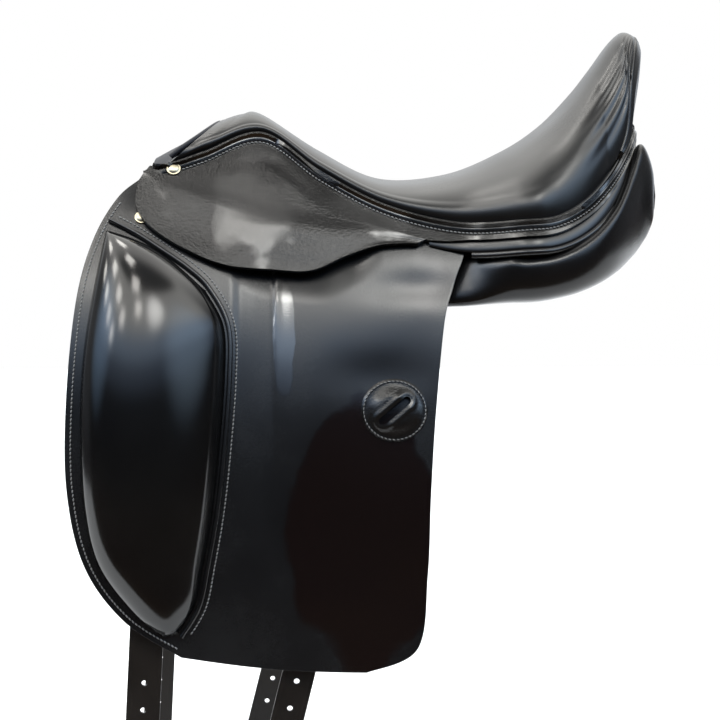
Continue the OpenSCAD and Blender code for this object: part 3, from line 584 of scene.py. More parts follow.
def skirt_at(u, v):
    t = skirt_t(u)
    s = max(skirt_depth(t, v), lift_at(t) * ease(t * EDGES) * (1 - ease(v / 0.3)))
    slant = 6 * v * (1 - ease(u / 0.03))
    return band_at(t, s, GATHER_OUT * gather_at(t) * ease(s / 6)) - vec(slant, 0, 0)


def fold_swell(x):
    """How far the leather stands out along the fold."""
    return (1.0 + 2.4 * bell((x + 70) / 42)) * ease((x + 195) / 40) * ease((62 - x) / 40)


def skirt_lift(u, v):
    t = skirt_t(u)
    depth = skirt_depth(t, v)
    ridge = 1.2 * bell((depth - 5.2) / 2.1) - 1.0 * bell((depth - 9.6) / 1.1)
    swell = fold_swell(spline(EDGE, t)[0]) * ease((depth - 12) / 30) ** 0.8
    return ridge * ease(u / 0.06) * ease((skirt_drop(t) - 6) / 5) + swell


# The leg rubs this leather to a shine in places: a clear layer of wax with an uneven weight.
SKIRT_LEATHER = leather("skirt_leather", (0.0045, 0.0042, 0.004), (0.0075, 0.007, 0.0066),
                        (0.15, 0.23), 520, 0.5, 0.35, 0.16, specular=0.3)
tree = SKIRT_LEATHER.node_tree
worn = add(tree, "TexNoise", {"Vector": on_piece(tree), "Scale": 17, "Detail": 3, "Distortion": 0.5})
fill(tree, tree.nodes["Principled BSDF"], {"Coat Weight": soft_step(tree, worn, 0.47, 0.62),
                                           "Coat Roughness": 0.13, "Coat IOR": 1.7})
skirt = drape("skirt", skirt_at, 260, 50, skirt_lift)
thicken(skirt, 4.0)
round_free_edges(skirt, 0.9, lambda x, z: x < 56 and z < hinge_z(x) + 3.5)
pair(skirt, "skirt", SKIRT_LEATHER, "saddle", "grain_leather", "skirt")

# Twisted black thread. Its base colour is a grey far paler than the leather's, a painted highlight that
# stands in for the glints the stitches catch.
THREAD, tree, shader = material("black_thread")
twist = add(tree, "TexNoise", {"Vector": on_piece(tree), "Scale": 3000})
fill(tree, shader, {"Base Color": ramp(tree, twist, ((0, (0.08, 0.08, 0.08)), (1, (0.25, 0.245, 0.235)))),
                    "Roughness": 0.42})


def stitch_row(name, spots, faces, length=3.1, width=0.75):
    """Stitches along points in millimetres, one to each, lying half sunk in the leather."""
    bpy.ops.mesh.primitive_uv_sphere_add(segments=6, ring_count=5, radius=1)
    seed = bpy.context.object
    ball = np.array([v.co for v in seed.data.vertices])
    tiles = [list(p.vertices) for p in seed.data.polygons]
    bpy.data.objects.remove(seed)
    spots, faces = np.array(spots), np.array(faces)
    verts, polys = [], []
    for k in range(1, len(spots) - 1):
        ahead = unit(spots[k + 1] - spots[k - 1])
        up = unit(faces[k] - ahead * np.dot(faces[k], ahead))
        ahead = unit(ahead + 0.22 * np.cross(up, ahead))
        shape = np.stack([ahead * length / 2, np.cross(up, ahead) * width, up * width])
        polys += [[len(verts) + i for i in tile] for tile in tiles]
        verts += list((spots[k] + up * 0.2 + ball[:, [2, 0, 1]] @ shape) / 1000)
    mesh = bpy.data.meshes.new(name)
    mesh.from_pydata([tuple(v) for v in verts], [], polys)
    row = put(name, mesh)
    smooth(row, 80)
    return row


def even(path, start, end, pitch=3.6):
    """Parameters at even spacing in millimetres along a path."""
    ts = np.linspace(start, end, 400)
    points = np.array([path(t) for t in ts])
    run = np.concatenate([[0], np.cumsum(np.linalg.norm(np.diff(points, axis=0), axis=1))])
    return np.interp(np.arange(0, run[-1], pitch), run, ts)


def skirt_seam(t):
    return band_at(t, 9.4 * mix(1, GATHERED, gather_at(t)), mix(-0.55, 3.3, gather_at(t)))


ts = even(skirt_seam, 1.35 / EDGES, 0.985)
faces = [band_at(t, 0, 1) - band_at(t, 0, 0) for t in ts]
row = stitch_row("skirt_stitches", [skirt_seam(t) for t in ts], faces)
pair(row, "skirt_stitches", THREAD, "saddle", "grain_leather")

# Skirt lobes: the free lower part of the same leather. It folds up along a straight line to show the
# stirrup bar, over which it bulges a little.
LOBE_LOW = outline((-203, 108), (-204, 86), (-190, 67), (-160, 48), (-125, 34), (-85, 30), (-50, 29),
                   (-18, 42), (12, 51), (44, 52.5))


def lobe_at(u, v):
    x = mix(-196.5, 52, u)
    return on_side(mix(vec(x, hinge_z(x)), spline(LOBE_LOW, u), v), SKIRT_STAND)


def lobe_lift(u, v):
    x, _, z = lobe_at(u, v)
    bar = 1.6 * bell((x + 82) / 42, (z - 66) / 19)
    wave = 0.8 * math.sin(x / 27 + 0.6) * math.sin(z / 17 + 1.1)
    tall = min((hinge_z(x) - spline(LOBE_LOW, u)[1]) / 55, 1)
    steep = (1.0 * ease(v / 0.3) - 1.6 * ease((v - 0.35) / 0.65)) * tall
    fall = fold_swell(x) * (1 - ease((hinge_z(x) - z) / 34))
    return (bar + wave) * ease(v / 0.45) * (1 - 0.55 * ease((v - 0.7) / 0.3)) + steep + fall


lobe = drape("skirt_lobe", lobe_at, 170, 56, lobe_lift)
thicken(lobe, 4.0)
round_free_edges(lobe, 1.6, lambda x, z: z > hinge_z(x) - 3.5 and x < 46)
pair(lobe, "skirt_lobe", SKIRT_LEATHER, "lobe", "grain_leather", "skirt_lobe")

# Strips round the cantle: a padded leather band under the skirt's strip, and below it the welt that
# closes the panels.
WELT_DEPTH, WELT_IN = 28.8, 6.5


def strip_at(u, reach, s, off):
    t = 1 - abs(2 * u - 1) * reach
    g = gather_at(t)
    return flip(band_at(t, s * mix(1, GATHERED, g), off + GATHER_OUT * g), u < 0.5)


def cantle_band_at(u, v):
    return strip_at(u, 0.57, mix(26.4, 11, v), -4.4)


def cantle_band_lift(u, v):
    return 1.9 * bump(v) ** 0.6 - 0.3


band = drape("cantle_band_dressed", cantle_band_at, 200, 16, cantle_band_lift)
thicken(band, 3.8, 0.8)
dress(band, WELT_LEATHER, "saddle", "grain_leather", "cantle_band")
panel_welt_run = [strip_at(i / 200, 0.525, WELT_DEPTH, -WELT_IN) for i in range(201)]
panel_welt = tube("panel_welt_dressed", panel_welt_run, 3)
dress(panel_welt, WELT_LEATHER, "saddle", "welt_leather", "panel_welt")

# Panels: two wool-stuffed leather cushions on which the saddle lies, swelling at the rear, with the
# leather drawn a little towards the welt.
PANEL_X0, PANEL_X1, PANEL_IN = -196, 272.5, 34
PANEL_X = [*np.linspace(PANEL_X0, -180, 9), *np.linspace(-172, 84, 33), *np.linspace(90, 240, 61)]
PANEL_X += [PANEL_X1 - 26 * (1 - k) ** 2 - 0.02 for k in np.linspace(0.03, 1, 40)]
RAIL_X, RAIL_TOP, RAIL_FALL, RAIL_LONG = -155.6, 126, 0.287, 215.6


def rail_seat(x):
    """Height of the panel's top under the rail of the tree."""
    top = RAIL_TOP - RAIL_FALL * (x - RAIL_X)
    deep = mix(34, 23, (x - RAIL_X) / RAIL_LONG)
    return top - deep - 12 * SIDE_SLOPE / math.sqrt(1 + SIDE_SLOPE ** 2) + 0.75


def below_welt(x):
    """Height of the panel's top under the welt that closes it."""
    a = math.asin(clamp((x - ARC_X) / ARC_LONG))
    fall = mix(SIDE_SLOPE, ARC_SLOPE, a / math.pi * 2)
    g = gather(math.degrees(a))
    drop = WELT_DEPTH * mix(1, GATHERED, g) + mix(WELT_IN, WELT_IN - GATHER_OUT, g) * fall
    gap = mix(mix(2.6, 1.2, clamp((x - 92) / 40)), 4, ease((x - 190) / 45))
    return ARC_LOW + ARC_RISE * math.sin(a) ** ARC_CURL - drop / math.hypot(1, fall) - gap + 1.2


PANEL_TOP = [(PANEL_X0, 62), (-150, 68)] + [(x, rail_seat(x)) for x in (-90, -20, 50)]
PANEL_TOP += [(63, 45), (74, 50), (84, 49)]
PANEL_TOP += [(x, below_welt(x)) for x in (92, 104, 115, 127, 140, 150, 160, 169, 178, 187, 196, 204,
                                           212, 219, 226, 232, 238)]
PANEL_TOP += [(PANEL_X1 - d, z) for d, z in (
    (26, 135), (22, 144), (19, 147), (15.5, 145.5), (12.5, 141), (10, 136), (5, 124), (1.5, 112),
    (0.7, 107), (0, 98))]
PANEL_LOW = [(PANEL_X0, 20), (-150, -6), (-90, -14), (50, -8), (115, -6), (150, -6), (187, 1), (216, 13)]
PANEL_LOW += [(PANEL_X1 - d, z) for d, z in ((29, 30), (16, 44), (8, 57), (3, 70), (0.7, 82), (0, 94))]
PANEL_PUFF = [(75, 0), (100, 0.6), (130, 1), (PANEL_X1, 1)]


def along(points, x):
    """A value between points, eased a little at each of them."""
    xs = [p[0] for p in points]
    i = min(max(int(np.searchsorted(xs, x, side="right")) - 1, 0), len(points) - 2)
    t = clamp((x - xs[i]) / (xs[i + 1] - xs[i]))
    return mix(points[i][1], points[i + 1][1], t * t * (3 - 2 * t) * 0.4 + t * 0.6)


def smooth_along(points, x):
    reach = min(14, max(PANEL_X1 - x, 0) * 0.35, max(x - PANEL_X0, 0) * 0.6)
    return sum(along(points, x + d * reach) for d in (-1, -0.65, -0.3, 0, 0.3, 0.65, 1)) / 7


def panel_x(u):
    return np.interp(u, np.linspace(0, 1, len(PANEL_X)), PANEL_X)


def panel_at(u, v):
    x = panel_x(u)
    a = 2 * math.pi * v
    soft = mix(mix(0.42, 0.74, ease((x - 80) / 60)), 1, ease((x - 215) / 45))
    p = math.copysign(abs(math.cos(a)) ** soft, math.cos(a))
    q = math.copysign(abs(math.sin(a)) ** soft, math.sin(a))
    low, top = smooth_along(PANEL_LOW, x), smooth_along(PANEL_TOP, x)
    from_front = x - PANEL_X0
    close = math.sqrt(max(1 - ((9 - from_front) / 9) ** 2, 0.004)) if from_front < 9 else 1
    end = math.sqrt(max(1 - (1 - min((PANEL_X1 - x) / 8, 1)) ** 2, 0))
    full = ease((x - 80) / 50)
    sag = 16 * (1 - p) / 2 * (1 - q) / 2 * end
    z = mix(low, top, (q * close + 1) / 2) + sag + 7 * full * end * (1 - q * q) * max(p, 0)
    plan = (1 - clamp((x - ARC_X) / (PANEL_X1 - ARC_X)) ** 3.8) ** (1 / 3.8)
    puff = mix(22, 30, full) * smooth_along(PANEL_PUFF, x)
    wide = (out_at(mix(z, mix(low, top, 0.6), full)) - 16 + puff) * plan
    wide = max(mix(46, wide, min(ease((x + 200) / 22) + 0.35, 1)), 39)
    middle, half = (PANEL_IN + wide) / 2, (wide - PANEL_IN) / 2
    return vec(x, middle + half * p * close * mix(0.3, 1, end), z)


def panel_lift(u, v):
    x = panel_x(u)
    show = ease((x - 70) / 30) * (1 - ease((x - 246) / 14))
    pulls = math.sin(x / 5.2 + 2.2 * math.sin(x / 23)) * (0.5 + 0.5 * math.sin(x / 17 + 1))
    dents = 0.8 * math.sin(x / 26 + 7 * v) * math.sin(11 * v + x / 60)
    return show * (0.45 * bump(v / 0.25) * pulls + dents * bump(2 * v)) - 0.3


PANEL_LEATHER = leather("panel_leather", (0.004, 0.004, 0.004), (0.0065, 0.006, 0.0058),
                        (0.17, 0.27), 800, 0.25, 0.3, 0.045, specular=0.36)
panel = drape("panel", panel_at, len(PANEL_X) - 1, 88, panel_lift)
weld(panel)
smooth(panel, 70)
for each in pair(panel, "panel", PANEL_LEATHER, "saddle", "seat_leather", "panel").values():
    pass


# Linings: thin leather over the gullet between the panels, and round the front of the head. Both close
# the saddle towards the horse's back.
def gullet_at(u, v):
    x = mix(-150, 225, u)
    arch = 7 * math.cos(math.pi / 2 * (2 * v - 1))
    return vec(x, 33.6 * (2 * v - 1), mix(along(PANEL_LOW, x), along(PANEL_TOP, x), 0.5) + 8 + arch)


gullet = drape("gullet_lining_dressed", gullet_at, 90, 24)
thicken(gullet, 2.0, 0.4)
dress(gullet, SEAT_LEATHER, "saddle", "seat_leather", "gullet_lining")


def soft_copy(node, width):
    """A copy of a plain solid with merged corners and rounded edges."""
    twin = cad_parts[node].copy()
    twin.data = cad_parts[node].data.copy()
    twin.name = node + "_dressed"
    twin.parent = None
    for key in list(twin.keys()):
        del twin[key]
    bpy.context.scene.collection.objects.link(twin)
    take(twin)
    bpy.ops.object.mode_set(mode="EDIT")
    bpy.ops.mesh.select_all(action="SELECT")
    bpy.ops.mesh.remove_doubles(threshold=0.00001)
    bpy.ops.mesh.tris_convert_to_quads(face_threshold=0.3, shape_threshold=0.7)
    bpy.ops.object.mode_set(mode="OBJECT")
    round_edges(twin, width, 2)
    smooth(twin, 40)
    return twin


dress(soft_copy("head_lining", 0.5), SEAT_LEATHER, "saddle", "seat_leather", "head_lining")

# Flaps: one thick sheet of waxed leather a side, with a shallow channel worn by the stirrup leather
# and a faint waviness from use. The scooped top edge lies hidden under the skirt.
FLAP_FRONT = outline((-200, 114), (-222, 92), (-241, 56), (-254, 3), (-261, -83), (-260, -160),
                     (-245, -224), (-211, -271), (-163, -302))
FLAP_REAR = outline((88, 44), (81, 30), (75, 14), (66, -18), (57, -95), (52, -165), (49, -233),
                    (40, -297), (-4, -317))


def flap_at(u, v):
    p = mix(spline(FLAP_FRONT, v), spline(FLAP_REAR, v), u)
    dip = 46 * ease((60 - abs(p[0] + 90)) / 26) * (1 - ease(v / 0.45))
    rise = 8 * ease((u - 0.91) / 0.09) * max(1 - v / 0.1, 0) ** 2
    return on_side(p + vec(0, rise - dip - 3.5 * bump(u) * v ** 6), 0)


def flap_lift(u, v):
    x, _, z = flap_at(u, v)
    fade = ease((z + 165) / 120) * ease((60 - z) / 20)
    groove = ease((x + 121) / 10) * (1 - ease((x + 84.5) / 3.5))
    ridge = 0.5 * bell((x + 76) / 5)
    wave = 0.9 * math.sin(x / 47 + z / 83) * math.sin(z / 58 + 0.4) + 0.5 * math.sin(x / 27 - z / 39 + 1.3)
    clear = ease((x + 118) / 20) * ease((z + 285) / 40) * ease((70 - x) / 30)
    brow = spline(LOBE_LOW, (x + 203) / 247)[1]
    tuck = 3.6 * ease((z - brow + 30) / 34) * ease((x + 222) / 25) * (1 - ease((x + 15) / 30))
    hollow = 2.2 * bell((x - 42) / 42, (z - 15) / 15) + 1.4 * bell((x - 8) / 42, (z + 62) / 19)
    return fade * (ridge - 1.7 * groove) + wave * clear - tuck - hollow


def polish(m):
    """Places on the flap that stay polished: a large patch under the leg and a strip beside the channel."""
    tree, shader = m.node_tree, m.node_tree.nodes["Principled BSDF"]
    where = on_piece(tree)
    ragged = add(tree, "TexNoise", {"Vector": where, "Scale": 26, "Detail": 5})

    def blob(centre, radius, waver, soft):
        spot = add(tree, "Mapping", {"Vector": where, "Scale": (1 / radius[0], 0, 1 / radius[1]),
                                     "Location": (-centre[0] / radius[0], 0, -centre[1] / radius[1])})
        far = add(tree, "VectorMath", {0: spot}, operation="LENGTH").outputs["Value"]
        uneven = calc(tree, "MULTIPLY_ADD", ragged, waver, far)
        return soft_step(tree, uneven, 1 + waver / 2 + soft, 1 + waver / 2 - soft)

    patch = blob((-0.006, -0.195), (0.064, 0.115), 0.5, 0.05)
    strip = blob((-0.074, -0.030), (0.009, 0.050), 1.0, 0.08)
    plain_rough, plain_tone = (shader.inputs[key].links[0].from_socket for key in ("Roughness", "Base Color"))
    smoother = add(tree, "MapRange", {"Value": calc(tree, "MAXIMUM", patch, strip),
                                      "To Min": 1.0, "To Max": 0.36})
    tone = add(tree, "Mix", {"Factor": patch, "A": plain_tone, "B": (0.0058, 0.0036, 0.0034, 1)},
               data_type="RGBA")
    fill(tree, shader, {"Roughness": calc(tree, "MULTIPLY", plain_rough, smoother),
                        "Base Color": tone.outputs["Result"], "Coat Weight": strip,
                        "Coat Roughness": 0.2, "Coat IOR": 1.55})


FLAP_LEATHER = leather("flap_leather", (0.0045, 0.0046, 0.005), (0.0075, 0.0075, 0.0078),
                       (0.21, 0.31), 700, 0.3, 0.3, 0.03)
polish(FLAP_LEATHER)
flap = drape("flap", flap_at, 175, 200, flap_lift)
thicken(flap, 5.0, 0.9)
pair(flap, "flap", FLAP_LEATHER, "flap", "grain_leather", "flap")

# Knee blocks: firm foam under a tight glossy leather cover, sewn on the flap, with a piped seam along
# the top and the rear edge and a stitched margin in front.
BLOCK_FRONT = outline((-230, 64), (-238, 20), (-247, -45), (-249, -110), (-246, -172), (-234, -221),
                      (-205, -261), (-178, -284))
BLOCK_REAR = outline((-142, 11), (-126, -20), (-125, -64), (-130, -128), (-136, -180), (-144, -225),
                     (-151, -257), (-166, -282))
BLOCK_TOP = outline((-229, 70), (-204, 57), (-182, 43), (-160, 28))
PIPE = BLOCK_TOP + BLOCK_REAR


def block_at(u, v):
    spot = mix(spline(BLOCK_FRONT, v), spline(BLOCK_REAR, v), u) + vec(0, 9 * bump(u) * (1 - clamp(v)) ** 6)
    across, down = math.sin(math.pi * clamp(u) ** 0.8), math.sin(math.pi * clamp(v) ** 0.62)
    swell = 34 * max(down, 0) ** 0.62 * max(across, 0) ** 0.65
    return on_side(spot, swell + 0.4 + 2.8 * min(across, down, 0.2) / 0.2)


def fine_ends(steps):
    return 0.5 - 0.5 * np.cos(np.pi * np.linspace(0, 1, steps + 1))


BLOCK_LEATHER = leather("block_leather", (0.0032, 0.0032, 0.0034), (0.0055, 0.0054, 0.0052),
                        (0.11, 0.17), 900, 0.2, 0.1, 0.012)
block = drape("knee_cover", block_at, 90, 150, us=fine_ends(90), vs=fine_ends(150))
thicken(block, 2.3)
for each in pair(block, "knee_cover", BLOCK_LEATHER, "flap", "seat_leather", "knee_cover").values():
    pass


def beside(line, t, aside, off):
    d = unit(spline(line, min(t + NEAR, 1)) - spline(line, max(t - NEAR, 0)))
    return on_side(spline(line, t) + aside * vec(-d[1], d[0]), off)


def sew(stem, spots, *size):
    """A row of stitches on each flap."""
    faces = [unit(vec(0, 1, slope_at(p[2]))) for p in spots]
    pair(stitch_row(stem, spots, faces, *size), stem, THREAD, "flap", "grain_leather")


piping = tube("knee_welt", [beside(PIPE, i / 140, 3.8, 2.4) for i in range(141)], 2.2)
pair(piping, "knee_welt", WELT_LEATHER, "flap", "welt_leather", "knee_welt")
pipe_ts = even(lambda t: beside(PIPE, t, 9.5, 0), 0.02, 0.985)
sew("pipe_stitches", [beside(PIPE, t, 9.5, 0.1) for t in pipe_ts])
margin_ts = even(lambda t: beside(FLAP_FRONT, t, 5.0, 0.1), 0.12, 0.99)
sew("margin_stitches", [beside(FLAP_FRONT, t, 5.0, 0.1) for t in margin_ts])

# Strap keepers: a round leather patch sewn on the flap over a filler, with a slanted slot for the end
# of the stirrup leather.
KEEPER_X, KEEPER_Z = 21.0, -92.0
SLOT_HALF, SLOT_R, SLOT_TILT = 13.5, 3.5, math.radians(40)


def keeper_at(u, v):
    a = 2 * math.pi * u
    r = 1 - 0.999 * v
    h = 0.3 + 2.0 * ease(v / 0.05) + 4.6 * ease((v - 0.1) / 0.5)
    x, z = r * 29 * math.cos(a), r * 27 * math.sin(a)
    c, s = math.cos(SLOT_TILT), math.sin(SLOT_TILT)
    run, side = x * c + z * s, -x * s + z * c
    from_slot = math.hypot(max(abs(run) - SLOT_HALF, 0), side) - SLOT_R
    h += 1.1 * bell((from_slot - 3.2) / 2.2) * ease(v / 0.3)
    return on_side((KEEPER_X + x, KEEPER_Z + z), h)


def punch(radius, sides, depth, turn):
    """A round cutter in metres along the way that a turn about X gives it."""
    bpy.ops.mesh.primitive_cylinder_add(vertices=sides, radius=radius, depth=depth, location=(0, 0, 0))
    bpy.context.object.data.transform(Matrix.Rotation(turn, 4, "X"))
    return bpy.context.object


def cut(piece, cutter):
    """Takes the shape of a cutter out of a piece."""
    change(piece, "BOOLEAN", object=cutter, solver="EXACT")
    bpy.data.objects.remove(cutter)
    smooth(piece, 45)


keeper = drape("keeper", keeper_at, 96, 36, us=np.linspace(1, 0, 97))
weld(keeper, 0.00004, capped=False)
thicken(keeper, 2.2)
slot = punch(SLOT_R / 1000, 32, 0.06, math.radians(90))
for v in slot.data.vertices:
    v.co.x += math.copysign(SLOT_HALF / 1000, v.co.x)
slot.data.transform(Matrix.Rotation(-SLOT_TILT, 4, "Y"))
slot.data.transform(Matrix.Translation((KEEPER_X / 1000, out_at(KEEPER_Z) / 1000, KEEPER_Z / 1000)))
cut(keeper, slot)
pair(keeper, "keeper", SKIRT_LEATHER, "flap", "grain_leather", "keeper")
sew("keeper_stitches", [keeper_at(a, 0.075) + vec(0, 0.15, 0) for a in np.arange(-1, 48) / 47], 2.6, 0.5)


# Nails: pale polished brass domes with a rolled rim. One goes through each skirt and one through each
# flap.
def metal(name, tint, rough, streak):
    """Polished or brushed metal with fine scratches."""
    m, tree, shader = material(name)
    stretch = add(tree, "Mapping", {"Vector": on_piece(tree), "Scale": (streak, 900, 900)})
    scratch = add(tree, "TexNoise", {"Vector": stretch, "Scale": 1.0, "Detail": 3})
    shine = add(tree, "MapRange", {"Value": scratch, "To Min": rough * 0.7, "To Max": rough * 1.5})
    tone = ramp(tree, scratch, ((0, [c * 0.72 for c in tint]), (1, tint)))
    fill(tree, shader, {"Base Color": tone, "Roughness": shine, "Metallic": 1.0})
    return m


def turned(name, profile, x, z, off):
    """A round piece turned from a profile of radius and height, standing on the side at x, z."""
    tilt = slope_at(z)
    face, down = unit(vec(0, 1, tilt)), unit(vec(0, tilt, -1))

    def surface(u, v):
        r, h = spline(profile, v)
        a = -2 * math.pi * u
        return vec(x, out_at(z) + off, z) + vec(1, 0, 0) * r * math.cos(a) + down * r * math.sin(a) + face * h

    piece = drape(name, surface, 40, 28)
    weld(piece, 0.00001, capped=False)
    smooth(piece, 60)
    return piece


NAIL_BRASS = metal("nail_brass", (0.52, 0.46, 0.33), 0.32, 500)
NAIL = outline((0.02, 0.1), (5.6, 0.1), (6.4, 0.35), (6.5, 0.9), (6.2, 1.35), (5.5, 1.4), (5.1, 1.45),
               (4.4, 2.0), (3.0, 2.65), (1.5, 2.95), (0.02, 3.0))
for stem, body, x, z, off in (("head_nail", "saddle", -171.5, 118.8, SKIRT_STAND),
                              ("flap_nail", "flap", -199, 75, 0)):
    pair(turned(stem, NAIL, x, z, off), stem, NAIL_BRASS, body, "nail_brass", stem)

# Girth straps: thick bridle leather with creased edges and a row of buckle holes, hanging from rivets
# under the flap.
STRAP_LEATHER = leather("strap_leather", (0.0055, 0.0038, 0.0026), (0.0095, 0.0064, 0.0042),
                        (0.34, 0.48), 760, 0.4, 0.3, 0.05, specular=0.3)
STRAP_END, STRAP_HALF, STRAP_ROUND = -500, 14.5, 10
HOLES, HOLE_TOP, HOLE_PITCH = 7, -326, 23.5
HOLE_R, RIVET_R, PUNCH_LONG = 0.0025, 0.0031, 0.05


def girth_strap(stem, x, z0, lean):
    """A strap that hangs from a rivet at x, z0 and leans as it falls."""
    def mid(z):
        return x + lean * (z - z0)

    def surface(u, v):
        z = mix(z0 + 9, STRAP_END, v)
        short = max(STRAP_ROUND - (z - STRAP_END), 0) / STRAP_ROUND
        half = STRAP_HALF * (math.sqrt(max(1 - short ** 2, 0.02)) * 0.7 + 0.3)
        hang = 6.2 + 4.5 * ease((z0 - z) / 250)
        return on_side((mid(z) + (2 * u - 1) * half, z), -hang)

    def crease(u, v):
        return -0.35 * bell((abs(2 * u - 1) - 0.8) / 0.04)

    strap = drape(stem, surface, 28, 260, crease)
    thicken(strap, 4.0, 0.6)
    bores = [punch(HOLE_R, 24, PUNCH_LONG, math.radians(90)) for _ in range(HOLES)]
    bores.append(punch(RIVET_R, 24, PUNCH_LONG, -math.atan2(1, slope_at(z0))))
    for bore, z in zip(bores, [HOLE_TOP - HOLE_PITCH * i for i in range(HOLES)] + [z0]):
        bore.data.transform(Matrix.Translation((mid(z) / 1000, (out_at(z) - 8.5) / 1000, z / 1000)))
        bore.select_set(True)
    bpy.context.view_layer.objects.active = bores[0]
    bpy.ops.object.join()
    cut(strap, bpy.context.object)
    pair(strap, stem, STRAP_LEATHER, stem, "strap_leather", stem)


girth_strap("strap_front", -176, 56, 0.05)
girth_strap("strap_rear", 25, 30, 0.25)


# Webs: woven tape under the seat and above the straps, all hidden in use. Two crossed sets of threads give
# its height, and its colour follows that height, so the gaps between the threads are painted darker as shade.
def stuff(name, pattern, tones, depth, rough):
    """A dull stuff whose tone follows its relief: the low places are darker, which is painted shade in the
    gaps of the weave and the cells of the foam, and the wood's own streaks in the beech.
    """
    m, tree, shader = material(name)
    height = pattern(tree, on_piece(tree))
    relief = add(tree, "Bump", {"Height": height, "Distance": depth})
    fill(tree, shader, {"Base Color": ramp(tree, height, tones), "Normal": relief, "Roughness": rough})
    return m


def weave(tree, where):
    threads = [add(tree, "TexWave", {"Vector": where, "Scale": 1000 / 1.2 / 3.2, "Distortion": 0.4},
                   bands_direction=way).outputs["Fac"] for way in "XZ"]
    return calc(tree, "MAXIMUM", *threads)


WEB_TAPE = stuff("web_tape", weave, ((0, (0.30, 0.26, 0.19)), (1, (0.58, 0.53, 0.42))), 0.0003, 0.85)
for node in ("seat_webbing", "strap_webs"):
    dress(soft_copy(node, 0.4), WEB_TAPE, "saddle", "web_tape", node)


# Foam: the firm pads inside the seat and the knee blocks, pale and with open cells whose hollows are painted
# darker as shade. They are hidden under the leather.
def open_cells(tree, where):
    return add(tree, "TexVoronoi", {"Vector": where, "Scale": 700})


FOAM = stuff("seat_foam_cells", open_cells, ((0, (0.46, 0.40, 0.26)), (1, (0.70, 0.64, 0.46))), 0.0004, 0.95)
for node, body in (("seat_foam", "saddle"), ("knee_core_left", "flap_left"),
                   ("knee_core_right", "flap_right")):
    dress(soft_copy(node, 0.8), FOAM, body, "foam", node)


# Tree: moulded beech plywood rails, head and cantle with long grain streaks, and a steel head plate
# and rivets. The stirrup bars are of a brighter steel.
def wood_streaks(tree, where):
    stretch = add(tree, "Mapping", {"Vector": where, "Scale": (12, 160, 160)})
    return add(tree, "TexNoise", {"Vector": stretch, "Scale": 1.0, "Detail": 5})


BEECH = stuff("beech_ply", wood_streaks, ((0.3, (0.16, 0.105, 0.05)), (0.7, (0.36, 0.26, 0.14))), 0.0002, 0.5)
PLATE_STEEL = metal("plate_steel", (0.50, 0.52, 0.55), 0.4, 60)
BAR_STEEL = metal("bar_steel", (0.66, 0.67, 0.69), 0.28, 40)
FINISH = {
    BEECH: ("tree_head", "tree_rail_left", "tree_rail_right", "tree_cantle", "cantle_plate"),
    PLATE_STEEL: ("head_plate", "head_rivets", "strap_rivets", "bar_rivets_left", "bar_rivets_right",
                  "catch_pin_left", "catch_pin_right"),
    BAR_STEEL: ("stirrup_bar_left", "stirrup_bar_right", "stirrup_catch_left", "stirrup_catch_right"),
}
for finish, nodes in FINISH.items():
    for node in nodes:
        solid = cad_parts[node]
        solid.data.materials.clear()
        solid.data.materials.append(finish)

# Studio: a pale floor under and behind the saddle, a room that is brightest half way up and dark towards
# the camera, a ceiling with small lamps, and the camera on the horse's left. What the camera sees behind
# the saddle is plain white.
bpy.ops.mesh.primitive_plane_add(size=2, location=(0, 0, 0))
floor = bpy.context.object
floor.name = "floor"
floor.data.transform(Matrix.Translation((0, 3.55, -0.506)) @ Matrix.Diagonal((4, 4, 1, 1)))
pale, tree, shader = material("pale_floor")
fill(tree, shader, {"Base Color": (0.86, 0.86, 0.86, 1), "Roughness": 0.8, "Specular IOR Level": 0.1})
floor.data.materials.append(pale)

world = bpy.data.worlds.new("studio_room")
bpy.context.scene.world = world
world.use_nodes = True
tree = world.node_tree
where = add(tree, "TexCoord", {}).outputs["Generated"]
split = add(tree, "SeparateXYZ", {"Vector": where}).outputs

# The light of the room by height, from straight down at 0 to straight up at 1.
height = add(tree, "MapRange", {"Value": split["Z"], "From Min": -1})
before = ramp(tree, height, (
    (0.0, (0.05, 0.03, 0.015)), (0.4, (0.02, 0.012, 0.007)), (0.5, (0.006, 0.004, 0.003)),
    (0.64, (0.012, 0.014, 0.018)), (0.71, (0.12, 0.16, 0.23)), (0.78, (0.42, 0.55, 0.74)),
    (0.86, (1.0, 1.0, 0.97)), (0.925, (1.0, 0.99, 0.95)), (0.95, (0.08, 0.08, 0.075)),
    (1.0, (0.1, 0.1, 0.1))), "EASE")
behind = ramp(tree, height, (
    (0.0, (0.03, 0.02, 0.01)), (0.48, (0.03, 0.02, 0.015)), (0.54, (0.25, 0.27, 0.30)),
    (0.64, (0.42, 0.44, 0.46)), (0.78, (0.5, 0.5, 0.49)), (0.9, (0.85, 0.84, 0.81)),
    (1.0, (0.7, 0.69, 0.66))), "EASE")
dim = soft_step(tree, calc(tree, "ABSOLUTE", split["X"]), 0.45, 0.85, 0.85)
corner = add(tree, "Mix", {"Factor": dim, "A": behind, "B": (0.02, 0.02, 0.022, 1)}, data_type="RGBA")
room = add(tree, "Mix", {"Factor": soft_step(tree, split["Y"], -0.2, 0.15), "A": before,
                         "B": corner.outputs["Result"]}, data_type="RGBA")


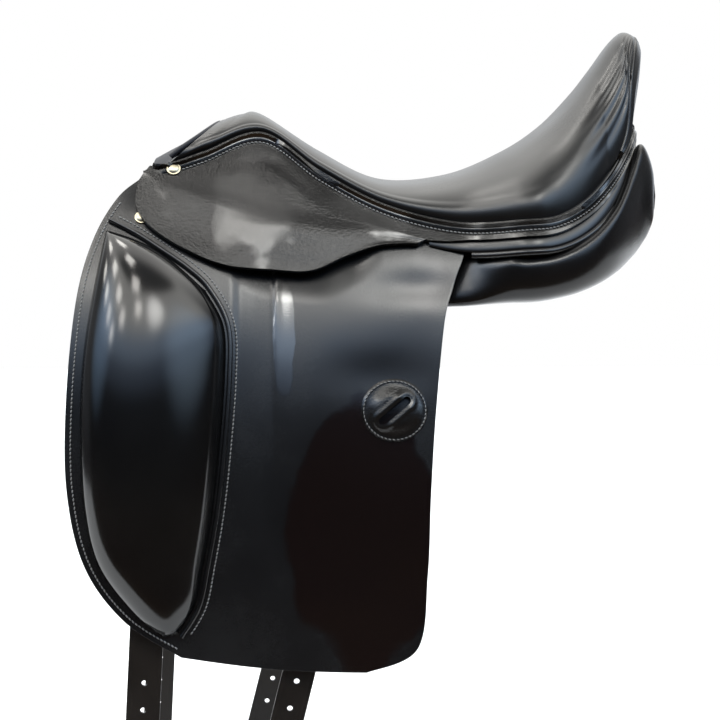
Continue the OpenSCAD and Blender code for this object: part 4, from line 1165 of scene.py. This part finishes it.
def glow(under, aim, wide, tint):
    """A soft light patch of the room in one direction, added to what lies under it."""
    toward = add(tree, "VectorMath", {0: where, 1: Vector(aim).normalized()}, operation="DOT_PRODUCT")
    mask = soft_step(tree, toward.outputs["Value"], math.cos(math.radians(wide)), 1.0)
    return add(tree, "Mix", {"Factor": mask, "A": under, "B": (*tint, 1)}, data_type="RGBA",
               blend_type="ADD").outputs["Result"]


lit = room.outputs["Result"]
for aim, wide, tint in (((0.66, -0.55, 0.5), 26, (0.34, 0.46, 0.60)),
                        ((-0.85, -0.2, 0.5), 24, (0.24, 0.36, 0.52)),
                        ((0.16, -0.62, 0.77), 11, (3.2, 3.2, 3.1))):
    lit = glow(lit, aim, wide, tint)
sky = fill(tree, tree.nodes["Background"], {"Color": lit, "Strength": 3.4})
white = add(tree, "Background", {"Color": (1, 1, 1, 1), "Strength": 1.0})
path = add(tree, "LightPath", {}).outputs
mirror = calc(tree, "MAXIMUM", path["Is Glossy Ray"], path["Is Transmission Ray"])
ahead = add(tree, "MapRange", {"Value": split["Y"], "From Min": 0.93, "From Max": 0.98})
shown = calc(tree, "MULTIPLY_ADD", mirror, ahead, path["Is Camera Ray"])
shown.use_clamp = True
blend = add(tree, "MixShader", {"Fac": shown, 1: sky, 2: white})
fill(tree, tree.nodes["World Output"], {"Surface": blend})


def aim_at(thing, place, target):
    thing.location = place
    thing.rotation_euler = (Vector(target) - Vector(place)).to_track_quat("-Z", "Y").to_euler()


for i in range(3):
    for j in range(4):
        lamp = bpy.data.lights.new("ceiling_lamp", "AREA")
        lamp.shape = "RECTANGLE"
        lamp.size, lamp.size_y = 0.28, 0.28
        lamp.energy = 3.0
        lamp.color = (1.0, 0.97, 0.92)
        aim_at(put("ceiling_lamp", lamp), (-0.55 - 0.9 * i, -1.5 + 0.6 * j, 1.7), (-0.2, 0, 0))

eye = bpy.data.cameras.new("photo_camera")
eye.lens = 95.5
eye.sensor_width = 36
camera = put("photo_camera", eye)
aim_at(camera, (-0.1, -1.8, 0.04), (0, 0, -0.057))
bpy.context.scene.camera = camera
bpy.context.scene.view_settings.view_transform = "Standard"

bpy.context.view_layer.update()
